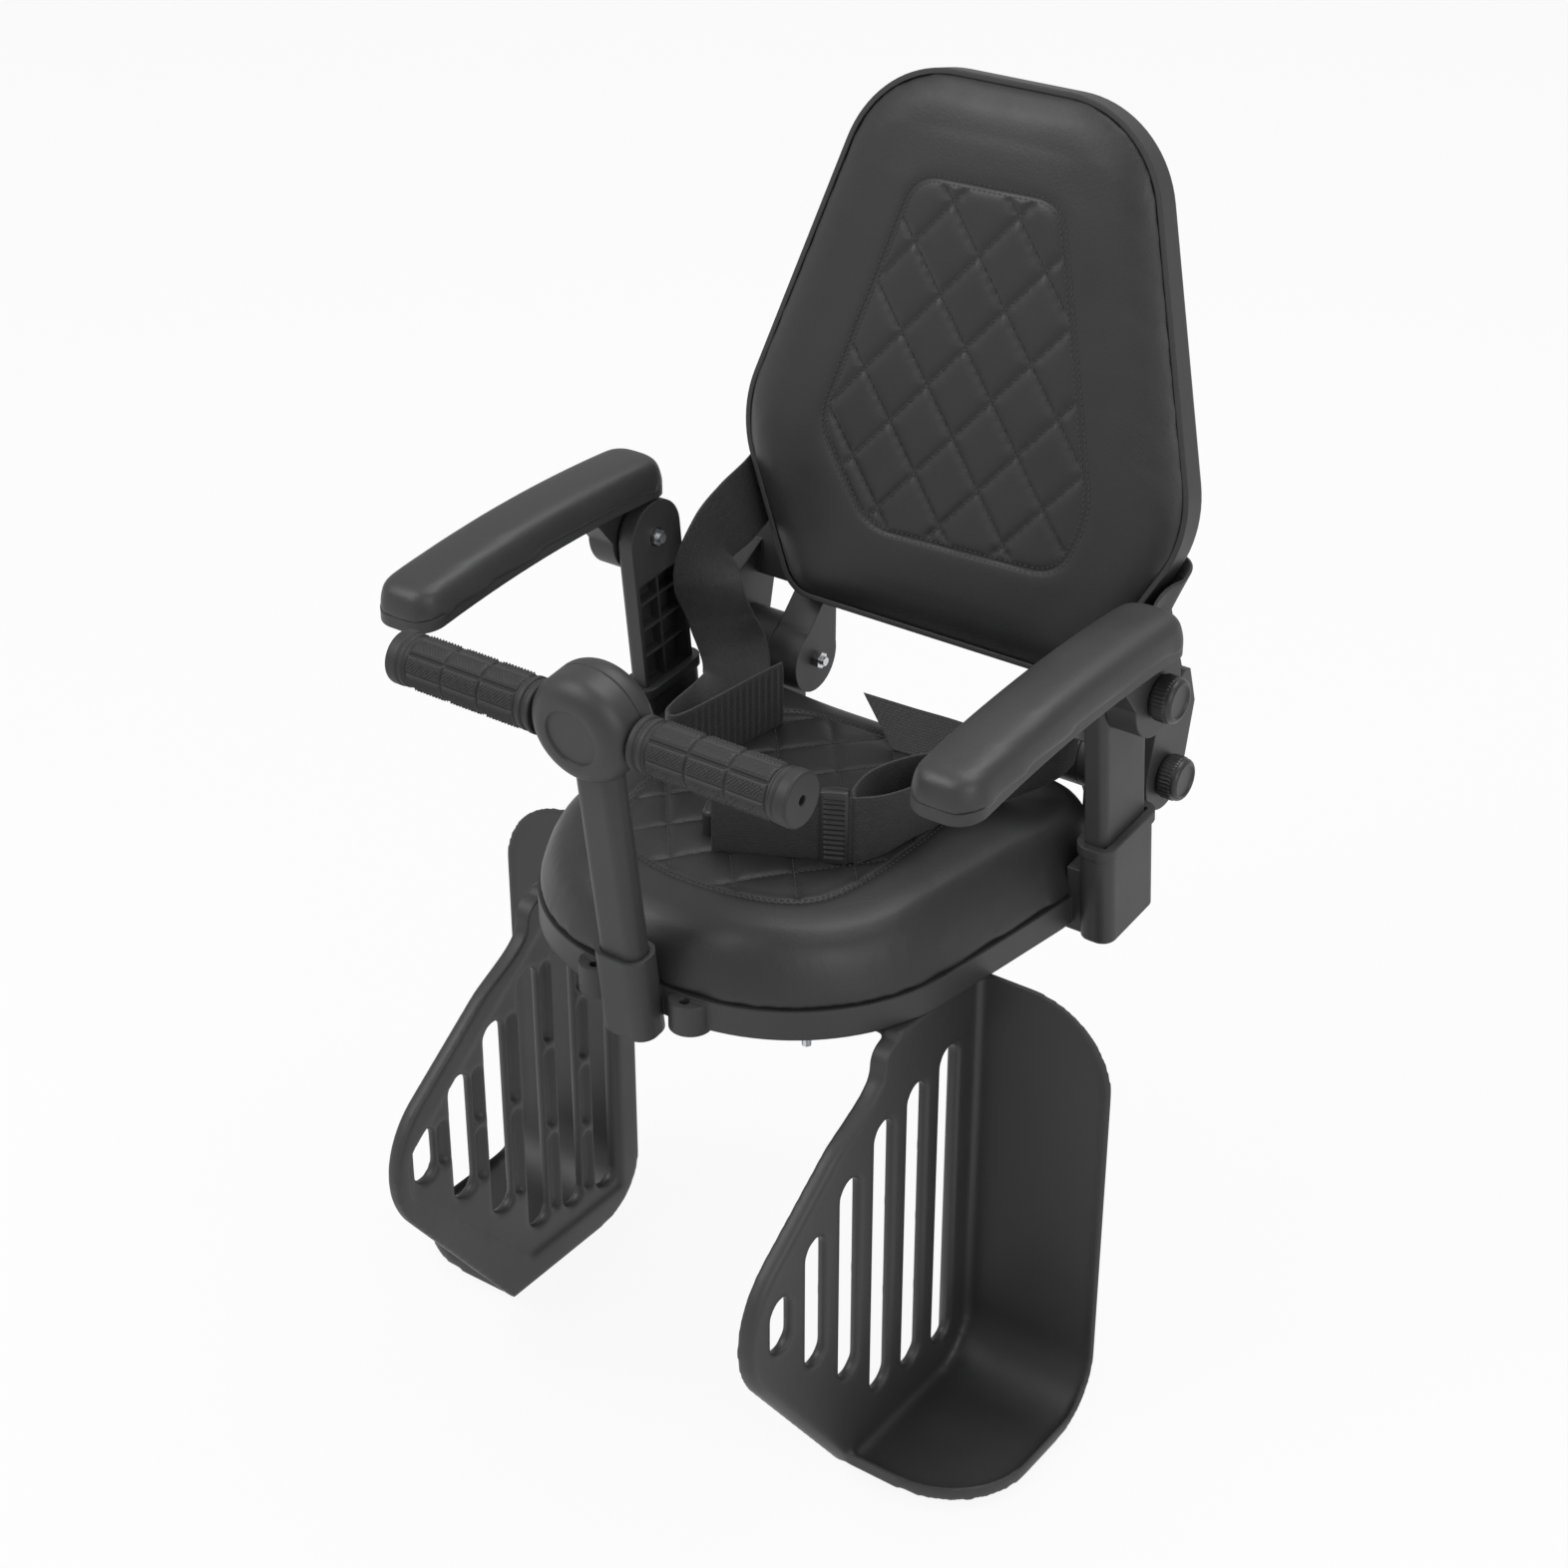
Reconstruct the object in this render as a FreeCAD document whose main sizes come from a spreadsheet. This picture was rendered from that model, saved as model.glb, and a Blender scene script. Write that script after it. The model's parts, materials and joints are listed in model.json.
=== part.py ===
"""Rear child bike seat with a folding backrest, flip-up armrests, handlebar and footrests.

Millimetres, +Z up. The child faces -Y and +X is the child's left hand. The origin is the
middle of the four rack studs, on the face that sits on the bicycle rack.
"""
import FreeCAD, Part
import math
import os
import re
import Sketcher
from FreeCAD import Placement, Rotation, Vector

os.makedirs("parts", exist_ok=True)
doc = FreeCAD.newDocument("RearChildSeat")
sheet = doc.addObject("Spreadsheet::Sheet", "Sizes")

SIZES = {
    # seat pan: an upside-down tray with a skirt, seen from above as a rounded shield
    "pan_top": 22, "skirt_height": 19, "pan_wall": 3.5,
    "pan_front": 142, "pan_side": 79, "pan_rear": 152,
    "front_half": 128, "side_half": 156, "rear_half": 152,
    "front_round": 120, "side_round": 140, "rear_round": 55,
    "rib_thick": 3, "rib_lift": 2, "front_boss_radius": 13, "front_boss_across": 33,
    # rack studs
    "stud_across": 66, "stud_along": 70, "stud_radius": 3, "stud_tip": 38, "bolt_gap": 0.15,
    "stud_boss_radius": 15, "stud_head_radius": 7.5, "stud_head_thick": 3,
    "stud_neck_radius": 4,
    # seat cushion
    "cushion_inset": 3, "cushion_thick": 46, "cushion_round": 24, "cushion_lower_round": 6,
    # armrest posts and their sockets on the pan
    "post_base_y": 103.6793, "post_base_z": 20.3217, "post_lean": 6, "post_inner": 165,
    "post_thick": 14, "post_width": 49, "post_head_radius": 24.5, "post_round": 5, "post_length": 150, "post_wall": 3,
    "post_rib": 2, "socket_wall": 4.3, "socket_gap": 0.2, "socket_depth": 49, "socket_floor": 20,
    "socket_lip": 1.4, "socket_lip_height": 7, "socket_round": 9, "web_height": 46,
    "arm_pivot_y": "=post_base_y - post_length * sin(post_lean)",
    "arm_pivot_z": "=post_base_z + post_length * cos(post_lean)",
    "socket_drop": "=post_length - socket_depth",
    # armrests
    "arm_gap": 0.6, "lug_thick": 20, "lug_radius": 25.5, "pad_middle": 187.5, "pad_width": 46,
    "arch_radius": 1000, "arch_top": 60, "base_rise": 28, "base_thick": 7, "pad_thick": 19,
    "arm_front": 216, "arm_rear": 18, "base_inset": 0.5, "arm_end_round": 17, "pad_round": 12,
    # handlebar
    "stem_base_y": 149.597, "stem_base_z": 0.2074, "bar_lean": 7.4, "bar_half": 138,
    "bar_radius": 11.1, "bar_wall": 1.5, "stem_width": 28, "stem_depth": 18, "stem_round": 7, "stem_length": 205,
    "hub_radius": 33, "hub_depth": 40, "hub_rise": 3, "hub_round": 13, "badge_radius": 17,
    "badge_depth": 1.2, "shell_split": 3, "shell_gap": 0.4, "grip_radius": 15, "flange_radius": 16,
    "flange_thick": 3, "flange_gap": 2, "groove_depth": 1, "groove_width": 1.6, "grip_hole": 2.8,
    "grip_fit": 0.05, "cap_thick": 3,
    "stem_socket_wall": 3.4, "stem_socket_depth": 50, "stem_socket_floor": 7,
    "bar_y": "=stem_base_y + stem_length * sin(bar_lean)",
    "bar_z": "=stem_base_z + stem_length * cos(bar_lean)",
    "stem_socket_drop": "=stem_length - stem_socket_depth",
    # backrest, drawn flat and then leaned back about its hinge
    "hinge_y": 164, "hinge_z": 72, "recline": 12.2,
    "back_top": 391, "back_wide": 152, "back_bottom": 44,
    "back_top_half": 95, "back_wide_half": 167, "back_bottom_half": 110,
    "back_top_round": 74, "back_wide_round": 75, "back_bottom_round": 26,
    "shell_front": 18, "shell_rear": 3, "shell_wall": 3.5, "shell_round": 5,
    "back_inset": 5.1, "back_cushion_front": 30, "back_cushion_round": 19,
    # hinge of the backrest: ears on the pan between the two arms of each bracket
    "knuckle_radius": 23, "knuckle_inner": 94, "knuckle_thick": 24, "ear_thick": 31,
    "side_play": 0.5, "outer_arm_thick": 18, "bracket_thick": 6, "bracket_top": 126,
    "bracket_foot": 44, "plate_trim": 6, "ear_root": 105,
    # pivot bolts, nuts and clamp knobs
    "pivot_radius": 3, "nut_corner": 5.75, "nut_thick": 5, "nut_sink": 2.5, "bolt_stand": 3,
    "knob_radius": 14.3, "knob_thick": 14.5, "knob_round": 4, "flute_radius": 3.4,
    "flute_count": 8, "knob_dish_radius": 9.5, "knob_dish_depth": 1.2, "bolt_head_thick": 4,
    # footrests
    "leg_face": 138.5, "panel_thick": 11, "skin_thick": 3, "panel_round": 5,
    "crease_y": 4, "foot_floor": 285, "tip_y": 248.8, "tip_z": 124.1, "tip_round": 60,
    "toe_y": 126, "neck_y": 91, "neck_z": 10, "neck_round": 10, "tab_y": 113,
    "foot_width": 93, "foot_bend": 38, "foot_corner": 57, "foot_lip": 7,
    "slot_width": 19, "slot_pitch": 34, "slot_first": 195, "channel_width": 9, "foot_seat_gap": 0.3,
    "slot_top": 36, "slot_top_step": 7, "slot_front_step": 21,
    "slot_low": 260, "slot_low_step": 5, "slot_toe_step": 33,
    "zone_tip_y": 212, "zone_tip_z": 122, "zone_tip_low": 152, "zone_tip_round": 14,
    "zone_margin": 13, "slot_wall": 8,
    "flange_inner": 98, "flange_margin": 18, "foot_flange_thick": 4, "foot_bolt_x": 110,
    "foot_bolt_y": 22, "foot_bolt_pitch": 40, "foot_boss_radius": 8, "bolt_head_radius": 5.5,
    # small screws
    "screw_radius": 2, "screw_head_radius": 4, "screw_head_thick": 2.4,
    "screw_inset": 10, "screw_across": 20, "screw_low": 42, "screw_up": 26,
    # harness
    "webbing_width": 44, "webbing_thick": 2,
    "buckle_wide": 46, "buckle_long": 58, "buckle_thick": 17, "buckle_round": 6,
}
for row, (alias, number) in enumerate(SIZES.items(), 1):
    sheet.set("A%d" % row, alias)
    sheet.set("B%d" % row, str(number))
    sheet.setAlias("B%d" % row, alias)
doc.recompute()
nodes = []


def cell(text):
    """A formula in size names, as an expression that refers to the sheet."""
    return re.sub(r"[a-z][a-z_]+", lambda m: "Sizes." + m.group() if m.group() in SIZES else m.group(),
                  text)


def value(text):
    """The number that a formula in size names gives now."""
    return float(sheet.evalExpression(cell(text)))


def bind(obj, prop, text):
    """Tie a property to the sheet."""
    obj.setExpression(prop, cell(text))


def node(obj, label):
    """Name a finished sub-part and list it for export."""
    obj.Label = label
    nodes.append(obj)
    return obj


def place(obj, x, y, z, turn="0", axis=Vector(1, 0, 0)):
    """Put an object at a point of the seat, turned about an axis through that point."""
    obj.Placement = Placement(Vector(value(x), value(y), value(z)), Rotation(axis, value(turn)))
    for prop, text in (("x", x), ("y", y), ("z", z)):
        bind(obj, "Placement.Base." + prop, text)
    return obj


def new_body(name):
    """An empty body."""
    return doc.addObject("PartDesign::Body", name)


def sketch(body, name, plane, offset="0"):
    """An empty sketch on one of the body's own planes, moved along that plane's normal."""
    drawing = body.newObject("Sketcher::SketchObject", name)
    support = [item for item in body.Origin.OriginFeatures if item.Role == plane][0]
    drawing.AttachmentSupport = [(support, "")]
    drawing.MapMode = "FlatFace"
    bind(drawing, "AttachmentOffset.Base.z", offset)
    return drawing


def fix_point(drawing, item, end, across, up):
    """Hold one point of a sketch at a place given by two formulas."""
    for kind, line, text in (("DistanceX", -2, across), ("DistanceY", -1, up)):
        if text == "0":
            drawing.addConstraint(Sketcher.Constraint("PointOnObject", item, end, line))
            continue
        rule = drawing.addConstraint(Sketcher.Constraint(kind, -1, 1, item, end, value(text)))
        bind(drawing, "Constraints[%d]" % rule, text)


def outline(drawing, points):
    """A closed outline of straight sides through points given as pairs of formulas."""
    first = drawing.GeometryCount
    corners = [Vector(value(across), value(up), 0) for across, up in points]
    count = len(points)
    for i in range(count):
        drawing.addGeometry(Part.LineSegment(corners[i], corners[(i + 1) % count]))
    for i in range(count):
        drawing.addConstraint(Sketcher.Constraint("Coincident", first + i, 2, first + (i + 1) % count, 1))
    for i, (across, up) in enumerate(points):
        fix_point(drawing, first + i, 1, across, up)


def rectangle(drawing, left, low, right, high):
    """A closed rectangle."""
    outline(drawing, [(left, low), (right, low), (right, high), (left, high)])


def circle(drawing, across, up, radius):
    """A circle with its centre and radius tied to the sheet."""
    centre = Vector(value(across), value(up), 0)
    item = drawing.addGeometry(Part.Circle(centre, Vector(0, 0, 1), value(radius)))
    fix_point(drawing, item, 3, across, up)
    rule = drawing.addConstraint(Sketcher.Constraint("Radius", item, value(radius)))
    bind(drawing, "Constraints[%d]" % rule, radius)


def pad(body, drawing, length, back=False):
    """Raise a sketch into a solid along its normal, or against it."""
    feature = body.newObject("PartDesign::Pad", drawing.Name + "Pad")
    feature.Profile = drawing
    feature.Reversed = back
    bind(feature, "Length", length)
    doc.recompute()
    return feature


def pocket(body, drawing, depth, ahead=False):
    """Cut a sketch into the solid against its normal, or along it."""
    feature = body.newObject("PartDesign::Pocket", drawing.Name + "Pocket")
    feature.Profile = drawing
    feature.Reversed = ahead
    bind(feature, "Length", depth)
    doc.recompute()
    return feature


def round_edges(body, names, radius):
    """Round the named edges of the body's last feature."""
    feature = body.newObject("PartDesign::Fillet", "Round")
    feature.Base = (feature.BaseFeature, names)
    bind(feature, "Radius", radius)
    doc.recompute()
    if not feature.isValid():
        raise RuntimeError("rounding failed in %s, radius %s, edges %s" % (body.Name, radius, names))
    return feature


def corner_edges(body, axis, points):
    """The straight edges along an axis (0, 1 or 2) that pass through points of the outline."""
    keep = [i for i in range(3) if i != axis]
    wanted = [(value(u), value(v)) for u, v in points]
    found = []
    for number, edge in enumerate(body.Tip.Shape.Edges, 1):
        if edge.Curve.TypeId != "Part::GeomLine":
            continue
        if abs(edge.tangentAt(edge.FirstParameter)[axis]) < 0.999:
            continue
        middle = edge.CenterOfMass
        if any(abs(middle[keep[0]] - u) < 0.05 and abs(middle[keep[1]] - v) < 0.05 for u, v in wanted):
            found.append("Edge%d" % number)
    return found


def rim_edges(body, axis, level):
    """The edges that lie wholly in the plane at one level of an axis."""
    place_on_axis = value(level)
    found = []
    for number, edge in enumerate(body.Tip.Shape.Edges, 1):
        box = edge.BoundBox
        low = (box.XMin, box.YMin, box.ZMin)[axis]
        high = (box.XMax, box.YMax, box.ZMax)[axis]
        if abs(low - place_on_axis) < 0.05 and abs(high - place_on_axis) < 0.05:
            found.append("Edge%d" % number)
    return found


def both_sides(half):
    """A whole outline from the corners of its +X half, front to rear."""
    return half + [("-(%s)" % across, up) for across, up in reversed(half)]


def combine(kind, name, first, second):
    """A Cut, Fuse or Common of two objects."""
    result = doc.addObject("Part::" + kind, name)
    result.Base = first
    result.Tool = second
    doc.recompute()
    return result


def fuse_all(name, shapes):
    """One solid from several that run into each other."""
    result = doc.addObject("Part::MultiFuse", name)
    result.Shapes = shapes
    doc.recompute()
    return result


def group(label, shapes):
    """Like fasteners, kept as separate solids in one sub-part."""
    result = doc.addObject("Part::Compound", label)
    result.Links = shapes
    doc.recompute()
    return node(result, label)


def mirror(source, name):
    """The same piece on the other side of the seat."""
    twin = doc.addObject("Part::Mirroring", name)
    twin.Source = source
    twin.Normal = Vector(1, 0, 0)
    doc.recompute()
    return twin


def rod(name, radius, length, x, y, z, direction):
    """A cylinder from a point along a direction."""
    solid = doc.addObject("Part::Cylinder", name)
    bind(solid, "Radius", radius)
    bind(solid, "Height", length)
    place(solid, x, y, z)
    solid.Placement.Rotation = Rotation(Vector(0, 0, 1), direction)
    doc.recompute()
    return solid


# Seat pan: one moulding with a ribbed underside, post sockets, handlebar socket and hinge ears
skirt_low = "(pan_top - skirt_height)"


def shield(name, low, height, inset):
    """The rounded plan of the seat as a solid, drawn in from the pan's edge by an inset."""
    body = new_body(name)
    drawing = sketch(body, name + "Plan", "XY_Plane", low)
    half = [("front_half - %s" % inset, "-pan_front + %s" % inset),
            ("side_half - %s" % inset, "pan_side"),
            ("rear_half - %s" % inset, "pan_rear - %s" % inset)]
    outline(drawing, both_sides(half))
    pad(body, drawing, height)
    whole = both_sides(half)
    round_edges(body, corner_edges(body, 2, [whole[0], whole[5]]), "front_round - %s" % inset)
    round_edges(body, corner_edges(body, 2, [whole[1], whole[4]]), "side_round - %s" % inset)
    round_edges(body, corner_edges(body, 2, [whole[2], whole[3]]), "rear_round - %s" % inset)
    return body


pan_block = shield("PanBlock", skirt_low, "skirt_height", "0 * pan_wall")
pan_hollow = shield("PanHollow", skirt_low, "skirt_height - pan_wall", "pan_wall")
pan_tray = combine("Cut", "PanTray", pan_block, pan_hollow)

rib_body = new_body("PanRibs")
rib_plan = sketch(rib_body, "RibLong", "XY_Plane", skirt_low + " + rib_lift")
for column in ("-stud_across", "0 * stud_across", "stud_across"):
    rectangle(rib_plan, column + " - rib_thick / 2", "-pan_front", column + " + rib_thick / 2", "pan_rear")
pad(rib_body, rib_plan, "skirt_height - rib_lift")
rib_cross = sketch(rib_body, "RibCross", "XY_Plane", skirt_low + " + rib_lift")
for place_along in ("-stud_along", "0 * stud_along", "stud_along"):
    rectangle(rib_cross, "-side_half", place_along + " - rib_thick / 2",
              "side_half", place_along + " + rib_thick / 2")
pad(rib_body, rib_cross, "skirt_height - rib_lift")
ribs = combine("Common", "RibsInPan", rib_body, pan_block)

bosses = new_body("PanBosses")
stud_plan = sketch(bosses, "StudBosses", "XY_Plane")
for sx in ("", "-"):
    for sy in ("", "-"):
        circle(stud_plan, sx + "stud_across", sy + "stud_along", "stud_boss_radius")
pad(bosses, stud_plan, "pan_top")
foot_plan = sketch(bosses, "FootBosses", "XY_Plane", skirt_low)
for sx in ("", "-"):
    for step in ("0", "1"):
        circle(foot_plan, sx + "foot_bolt_x", "-foot_bolt_y - %s * foot_bolt_pitch" % step,
               "foot_boss_radius")
pad(bosses, foot_plan, "skirt_height")
front_plan = sketch(bosses, "FrontBosses", "XY_Plane", skirt_low + " - rib_lift")
for sx in ("", "-"):
    circle(front_plan, sx + "front_boss_across", "-pan_front + front_boss_radius / 4", "front_boss_radius")
pad(bosses, front_plan, "skirt_height")
front_holes = sketch(bosses, "FrontHoles", "XY_Plane", skirt_low + " - rib_lift + skirt_height")
for sx in ("", "-"):
    circle(front_holes, sx + "front_boss_across", "-pan_front - front_boss_radius / 6", "stud_radius")
pocket(bosses, front_holes, "skirt_height / 2")


def post_socket(name):
    """The square cup on the pan's side that an armrest post stands in, leaning with the post."""
    body = new_body(name)
    place(body, "0", "arm_pivot_y", "arm_pivot_z", "post_lean")
    low = "-post_length - socket_floor"

    def plan(drawing, margin):
        rectangle(drawing, "post_inner - (%s)" % margin, "-post_width / 2 - (%s)" % margin,
                  "post_inner + post_thick + %s" % margin, "post_width / 2 + %s" % margin)

    outer = sketch(body, name + "Outer", "XY_Plane", low)
    plan(outer, "socket_gap + socket_wall")
    pad(body, outer, "post_length + socket_floor - socket_drop")
    lip = sketch(body, name + "Lip", "XY_Plane", "-socket_drop - socket_lip_height")
    plan(lip, "socket_gap + socket_wall + socket_lip")
    pad(body, lip, "socket_lip_height")
    uprights = [number for number, edge in enumerate(body.Tip.Shape.Edges, 1)
                if abs(edge.tangentAt(edge.FirstParameter).z) > 0.999]
    round_edges(body, ["Edge%d" % number for number in uprights], "socket_round")
    web = sketch(body, name + "Web", "XY_Plane", low)
    rectangle(web, "side_half - 3 * pan_wall", "-post_width / 2", "post_inner + post_thick / 2", "post_width / 2")
    pad(body, web, "socket_floor")
    shoulder = sketch(body, name + "Shoulder", "XY_Plane", low)
    rectangle(shoulder, "side_half - pan_wall", "-post_width / 2", "post_inner + post_thick / 2", "post_width / 2")
    pad(body, shoulder, "web_height")
    cup = sketch(body, name + "Cup", "XY_Plane", "-socket_drop")
    plan(cup, "socket_gap")
    pocket(body, cup, "post_length - socket_drop")
    bore = sketch(body, name + "ScrewBore", "XY_Plane", low)
    circle(bore, "post_inner + post_thick / 2", "0", "screw_radius + bolt_gap")
    pocket(body, bore, "socket_floor", ahead=True)
    return body


side_socket = post_socket("PostSocket")
side_sockets = [side_socket, mirror(side_socket, "PostSocketTwin")]

stem_socket = new_body("StemSocket")
place(stem_socket, "0", "-bar_y", "bar_z", "bar_lean")
socket_reach = "socket_gap + stem_socket_wall"
socket_plan = sketch(stem_socket, "StemSocketOuter", "XY_Plane", "-stem_length - stem_socket_floor")
rectangle(socket_plan, "-stem_width / 2 - (%s)" % socket_reach, "-stem_depth / 2 - (%s)" % socket_reach,
          "stem_width / 2 + %s" % socket_reach, "stem_depth / 2 + %s" % socket_reach)
pad(stem_socket, socket_plan, "stem_length + stem_socket_floor - stem_socket_drop")
uprights = [number for number, edge in enumerate(stem_socket.Tip.Shape.Edges, 1)
            if abs(edge.tangentAt(edge.FirstParameter).z) > 0.999]
round_edges(stem_socket, ["Edge%d" % number for number in uprights], "stem_round + " + socket_reach)
cup_block = new_body("StemCup")
place(cup_block, "0", "-bar_y", "bar_z", "bar_lean")
cup_plan = sketch(cup_block, "StemCupPlan", "XY_Plane", "-stem_length")
rectangle(cup_plan, "-stem_width / 2 - socket_gap", "-stem_depth / 2 - socket_gap",
          "stem_width / 2 + socket_gap", "stem_depth / 2 + socket_gap")
pad(cup_block, cup_plan, "stem_length - stem_socket_drop + socket_lip")
uprights = [number for number, edge in enumerate(cup_block.Tip.Shape.Edges, 1)
            if abs(edge.tangentAt(edge.FirstParameter).z) > 0.999]
round_edges(cup_block, ["Edge%d" % number for number in uprights], "stem_round + socket_gap")

ear = new_body("HingeEar")
ear_x = "knuckle_inner + knuckle_thick + side_play"
ear_plan = sketch(ear, "EarSide", "YZ_Plane", ear_x)
outline(ear_plan, [
    ("ear_root", skirt_low), ("hinge_y + knuckle_radius / 2", skirt_low),
    ("hinge_y + knuckle_radius", skirt_low + " + knuckle_radius"), ("hinge_y + knuckle_radius", "hinge_z"),
    ("hinge_y - knuckle_radius", "hinge_z"), ("pan_rear", "hinge_z - knuckle_radius"),
    ("pan_rear", "pan_top - pan_wall / 2"), ("ear_root", "pan_top - pan_wall / 2")])
pad(ear, ear_plan, "ear_thick")
ear_top = sketch(ear, "EarTop", "YZ_Plane", ear_x)
circle(ear_top, "hinge_y", "hinge_z", "knuckle_radius")
pad(ear, ear_top, "ear_thick")
ear_bore = sketch(ear, "EarBore", "YZ_Plane", ear_x)
circle(ear_bore, "hinge_y", "hinge_z", "pivot_radius + bolt_gap")
pocket(ear, ear_bore, "ear_thick", ahead=True)

pan_whole = fuse_all("PanWhole", [pan_tray, ribs, bosses, stem_socket, ear, mirror(ear, "HingeEarTwin")]
                     + side_sockets)
pan_cuts = [cup_block]
for sx in ("", "-"):
    for sy in ("", "-"):
        spot = (sx + "stud_across", sy + "stud_along")
        pan_cuts.append(rod("StudBore", "stud_neck_radius + bolt_gap", "pan_top", *spot, "0",
                            Vector(0, 0, 1)))
        pan_cuts.append(rod("StudSink", "stud_head_radius + bolt_gap", "pan_top",
                            *spot, "pan_top - stud_head_thick - bolt_gap", Vector(0, 0, 1)))
    for step in ("0", "1"):
        pan_cuts.append(rod("FootBore", "stud_radius + bolt_gap", "skirt_height - pan_wall", sx + "foot_bolt_x",
                            "-foot_bolt_y - %s * foot_bolt_pitch" % step, skirt_low, Vector(0, 0, 1)))
seat_pan = node(combine("Cut", "PanDone", pan_whole, fuse_all("PanCuts", pan_cuts)), "seat_pan")

# Rack studs: four bolts with a thick neck in the pan, whose heads lie sunk under the cushion
studs = []
for sx in ("", "-"):
    for sy in ("", "-"):
        spot = (sx + "stud_across", sy + "stud_along")
        shank = rod("StudShank", "stud_radius", "stud_tip", *spot, "-stud_tip", Vector(0, 0, 1))
        neck = rod("StudNeck", "stud_neck_radius", "pan_top - stud_head_thick", *spot, "0", Vector(0, 0, 1))
        head = rod("StudHead", "stud_head_radius", "stud_head_thick - bolt_gap", *spot,
                   "pan_top - stud_head_thick", Vector(0, 0, 1))
        studs.append(fuse_all("Stud", [shank, neck, head]))
group("rack_studs", studs)

# Seat cushion: a padded block of the pan's plan with soft edges
cushion = shield("SeatCushion", "pan_top", "cushion_thick", "cushion_inset")
round_edges(cushion, rim_edges(cushion, 2, "pan_top + cushion_thick"), "cushion_round")
round_edges(cushion, rim_edges(cushion, 2, "pan_top"), "cushion_lower_round")
node(cushion, "seat_cushion")

# Armrest posts: channel-section uprights with a round head and a ribbed inner face
post = new_body("ArmPost")
place(post, "0", "arm_pivot_y", "arm_pivot_z", "post_lean")
post_side = sketch(post, "PostSide", "YZ_Plane", "post_inner")
rectangle(post_side, "-post_width / 2", "-post_length", "post_width / 2", "0")
pad(post, post_side, "post_thick")
post_head = sketch(post, "PostHead", "YZ_Plane", "post_inner")
circle(post_head, "0", "0", "post_head_radius")
pad(post, post_head, "post_thick")
recess = sketch(post, "PostRecess", "YZ_Plane", "post_inner")
rectangle(recess, "-post_width / 2 + post_wall", "-socket_drop - post_wall",
          "post_width / 2 - post_wall", "-post_head_radius - post_wall")
pocket(post, recess, "post_thick - post_wall", ahead=True)
rib_side = sketch(post, "PostRibs", "YZ_Plane", "post_inner + post_wall")
for step in (1, 2, 3):
    middle = "-post_head_radius - %d * (socket_drop - post_head_radius) / 4" % step
    rectangle(rib_side, "-post_width / 2 + post_wall / 2", middle + " - post_rib / 2",
              "post_width / 2 - post_wall / 2", middle + " + post_rib / 2")
pad(post, rib_side, "post_thick - 1.5 * post_wall")
rib_upright = sketch(post, "PostRibUpright", "YZ_Plane", "post_inner + post_wall")
rectangle(rib_upright, "-post_rib / 2", "-socket_drop - 1.5 * post_wall", "post_rib / 2",
          "-post_head_radius - post_wall / 2")
pad(post, rib_upright, "post_thick - 1.5 * post_wall")
outer_rim = [number for number, edge in enumerate(post.Tip.Shape.Edges, 1)
             if abs(edge.BoundBox.XMin - value("post_inner + post_thick")) < 0.01
             and edge.BoundBox.ZMax > value("-post_length / 2")]
round_edges(post, ["Edge%d" % number for number in outer_rim], "post_round")
nut_seat = sketch(post, "NutSeat", "YZ_Plane", "post_inner")
circle(nut_seat, "0", "0", "nut_corner + bolt_gap")
pocket(post, nut_seat, "nut_sink", ahead=True)
post_bore = sketch(post, "PostBore", "YZ_Plane", "post_inner")
circle(post_bore, "0", "0", "pivot_radius + bolt_gap")
pocket(post, post_bore, "post_thick", ahead=True)
foot_bore = sketch(post, "PostFootBore", "XY_Plane", "-post_length")
circle(foot_bore, "post_inner + post_thick / 2", "0", "screw_radius + bolt_gap")
pocket(post, foot_bore, "socket_floor", ahead=True)
node(post, "left_armrest_post")
node(mirror(post, "ArmPostTwin"), "right_armrest_post")

# Post screws: one up through the floor of each socket into the post
post_screw = new_body("PostScrew")
place(post_screw, "0", "arm_pivot_y", "arm_pivot_z", "post_lean")
screw_shank = sketch(post_screw, "PostScrewShank", "XY_Plane", "-post_length - socket_floor")
circle(screw_shank, "post_inner + post_thick / 2", "0", "screw_radius")
pad(post_screw, screw_shank, "2 * socket_floor - bolt_gap")
screw_head = sketch(post_screw, "PostScrewHead", "XY_Plane", "-post_length - socket_floor")
circle(screw_head, "post_inner + post_thick / 2", "0", "screw_head_radius")
pad(post_screw, screw_head, "screw_head_thick", back=True)
group("post_screws", [post_screw, mirror(post_screw, "PostScrewTwin")])

# Armrests: an arched moulded base with a pivot lug outside the post, and a soft pad on top
lug_x = "post_inner + post_thick + arm_gap"
arch_centre = ("-arch_top", "base_rise - arch_radius")


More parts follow.
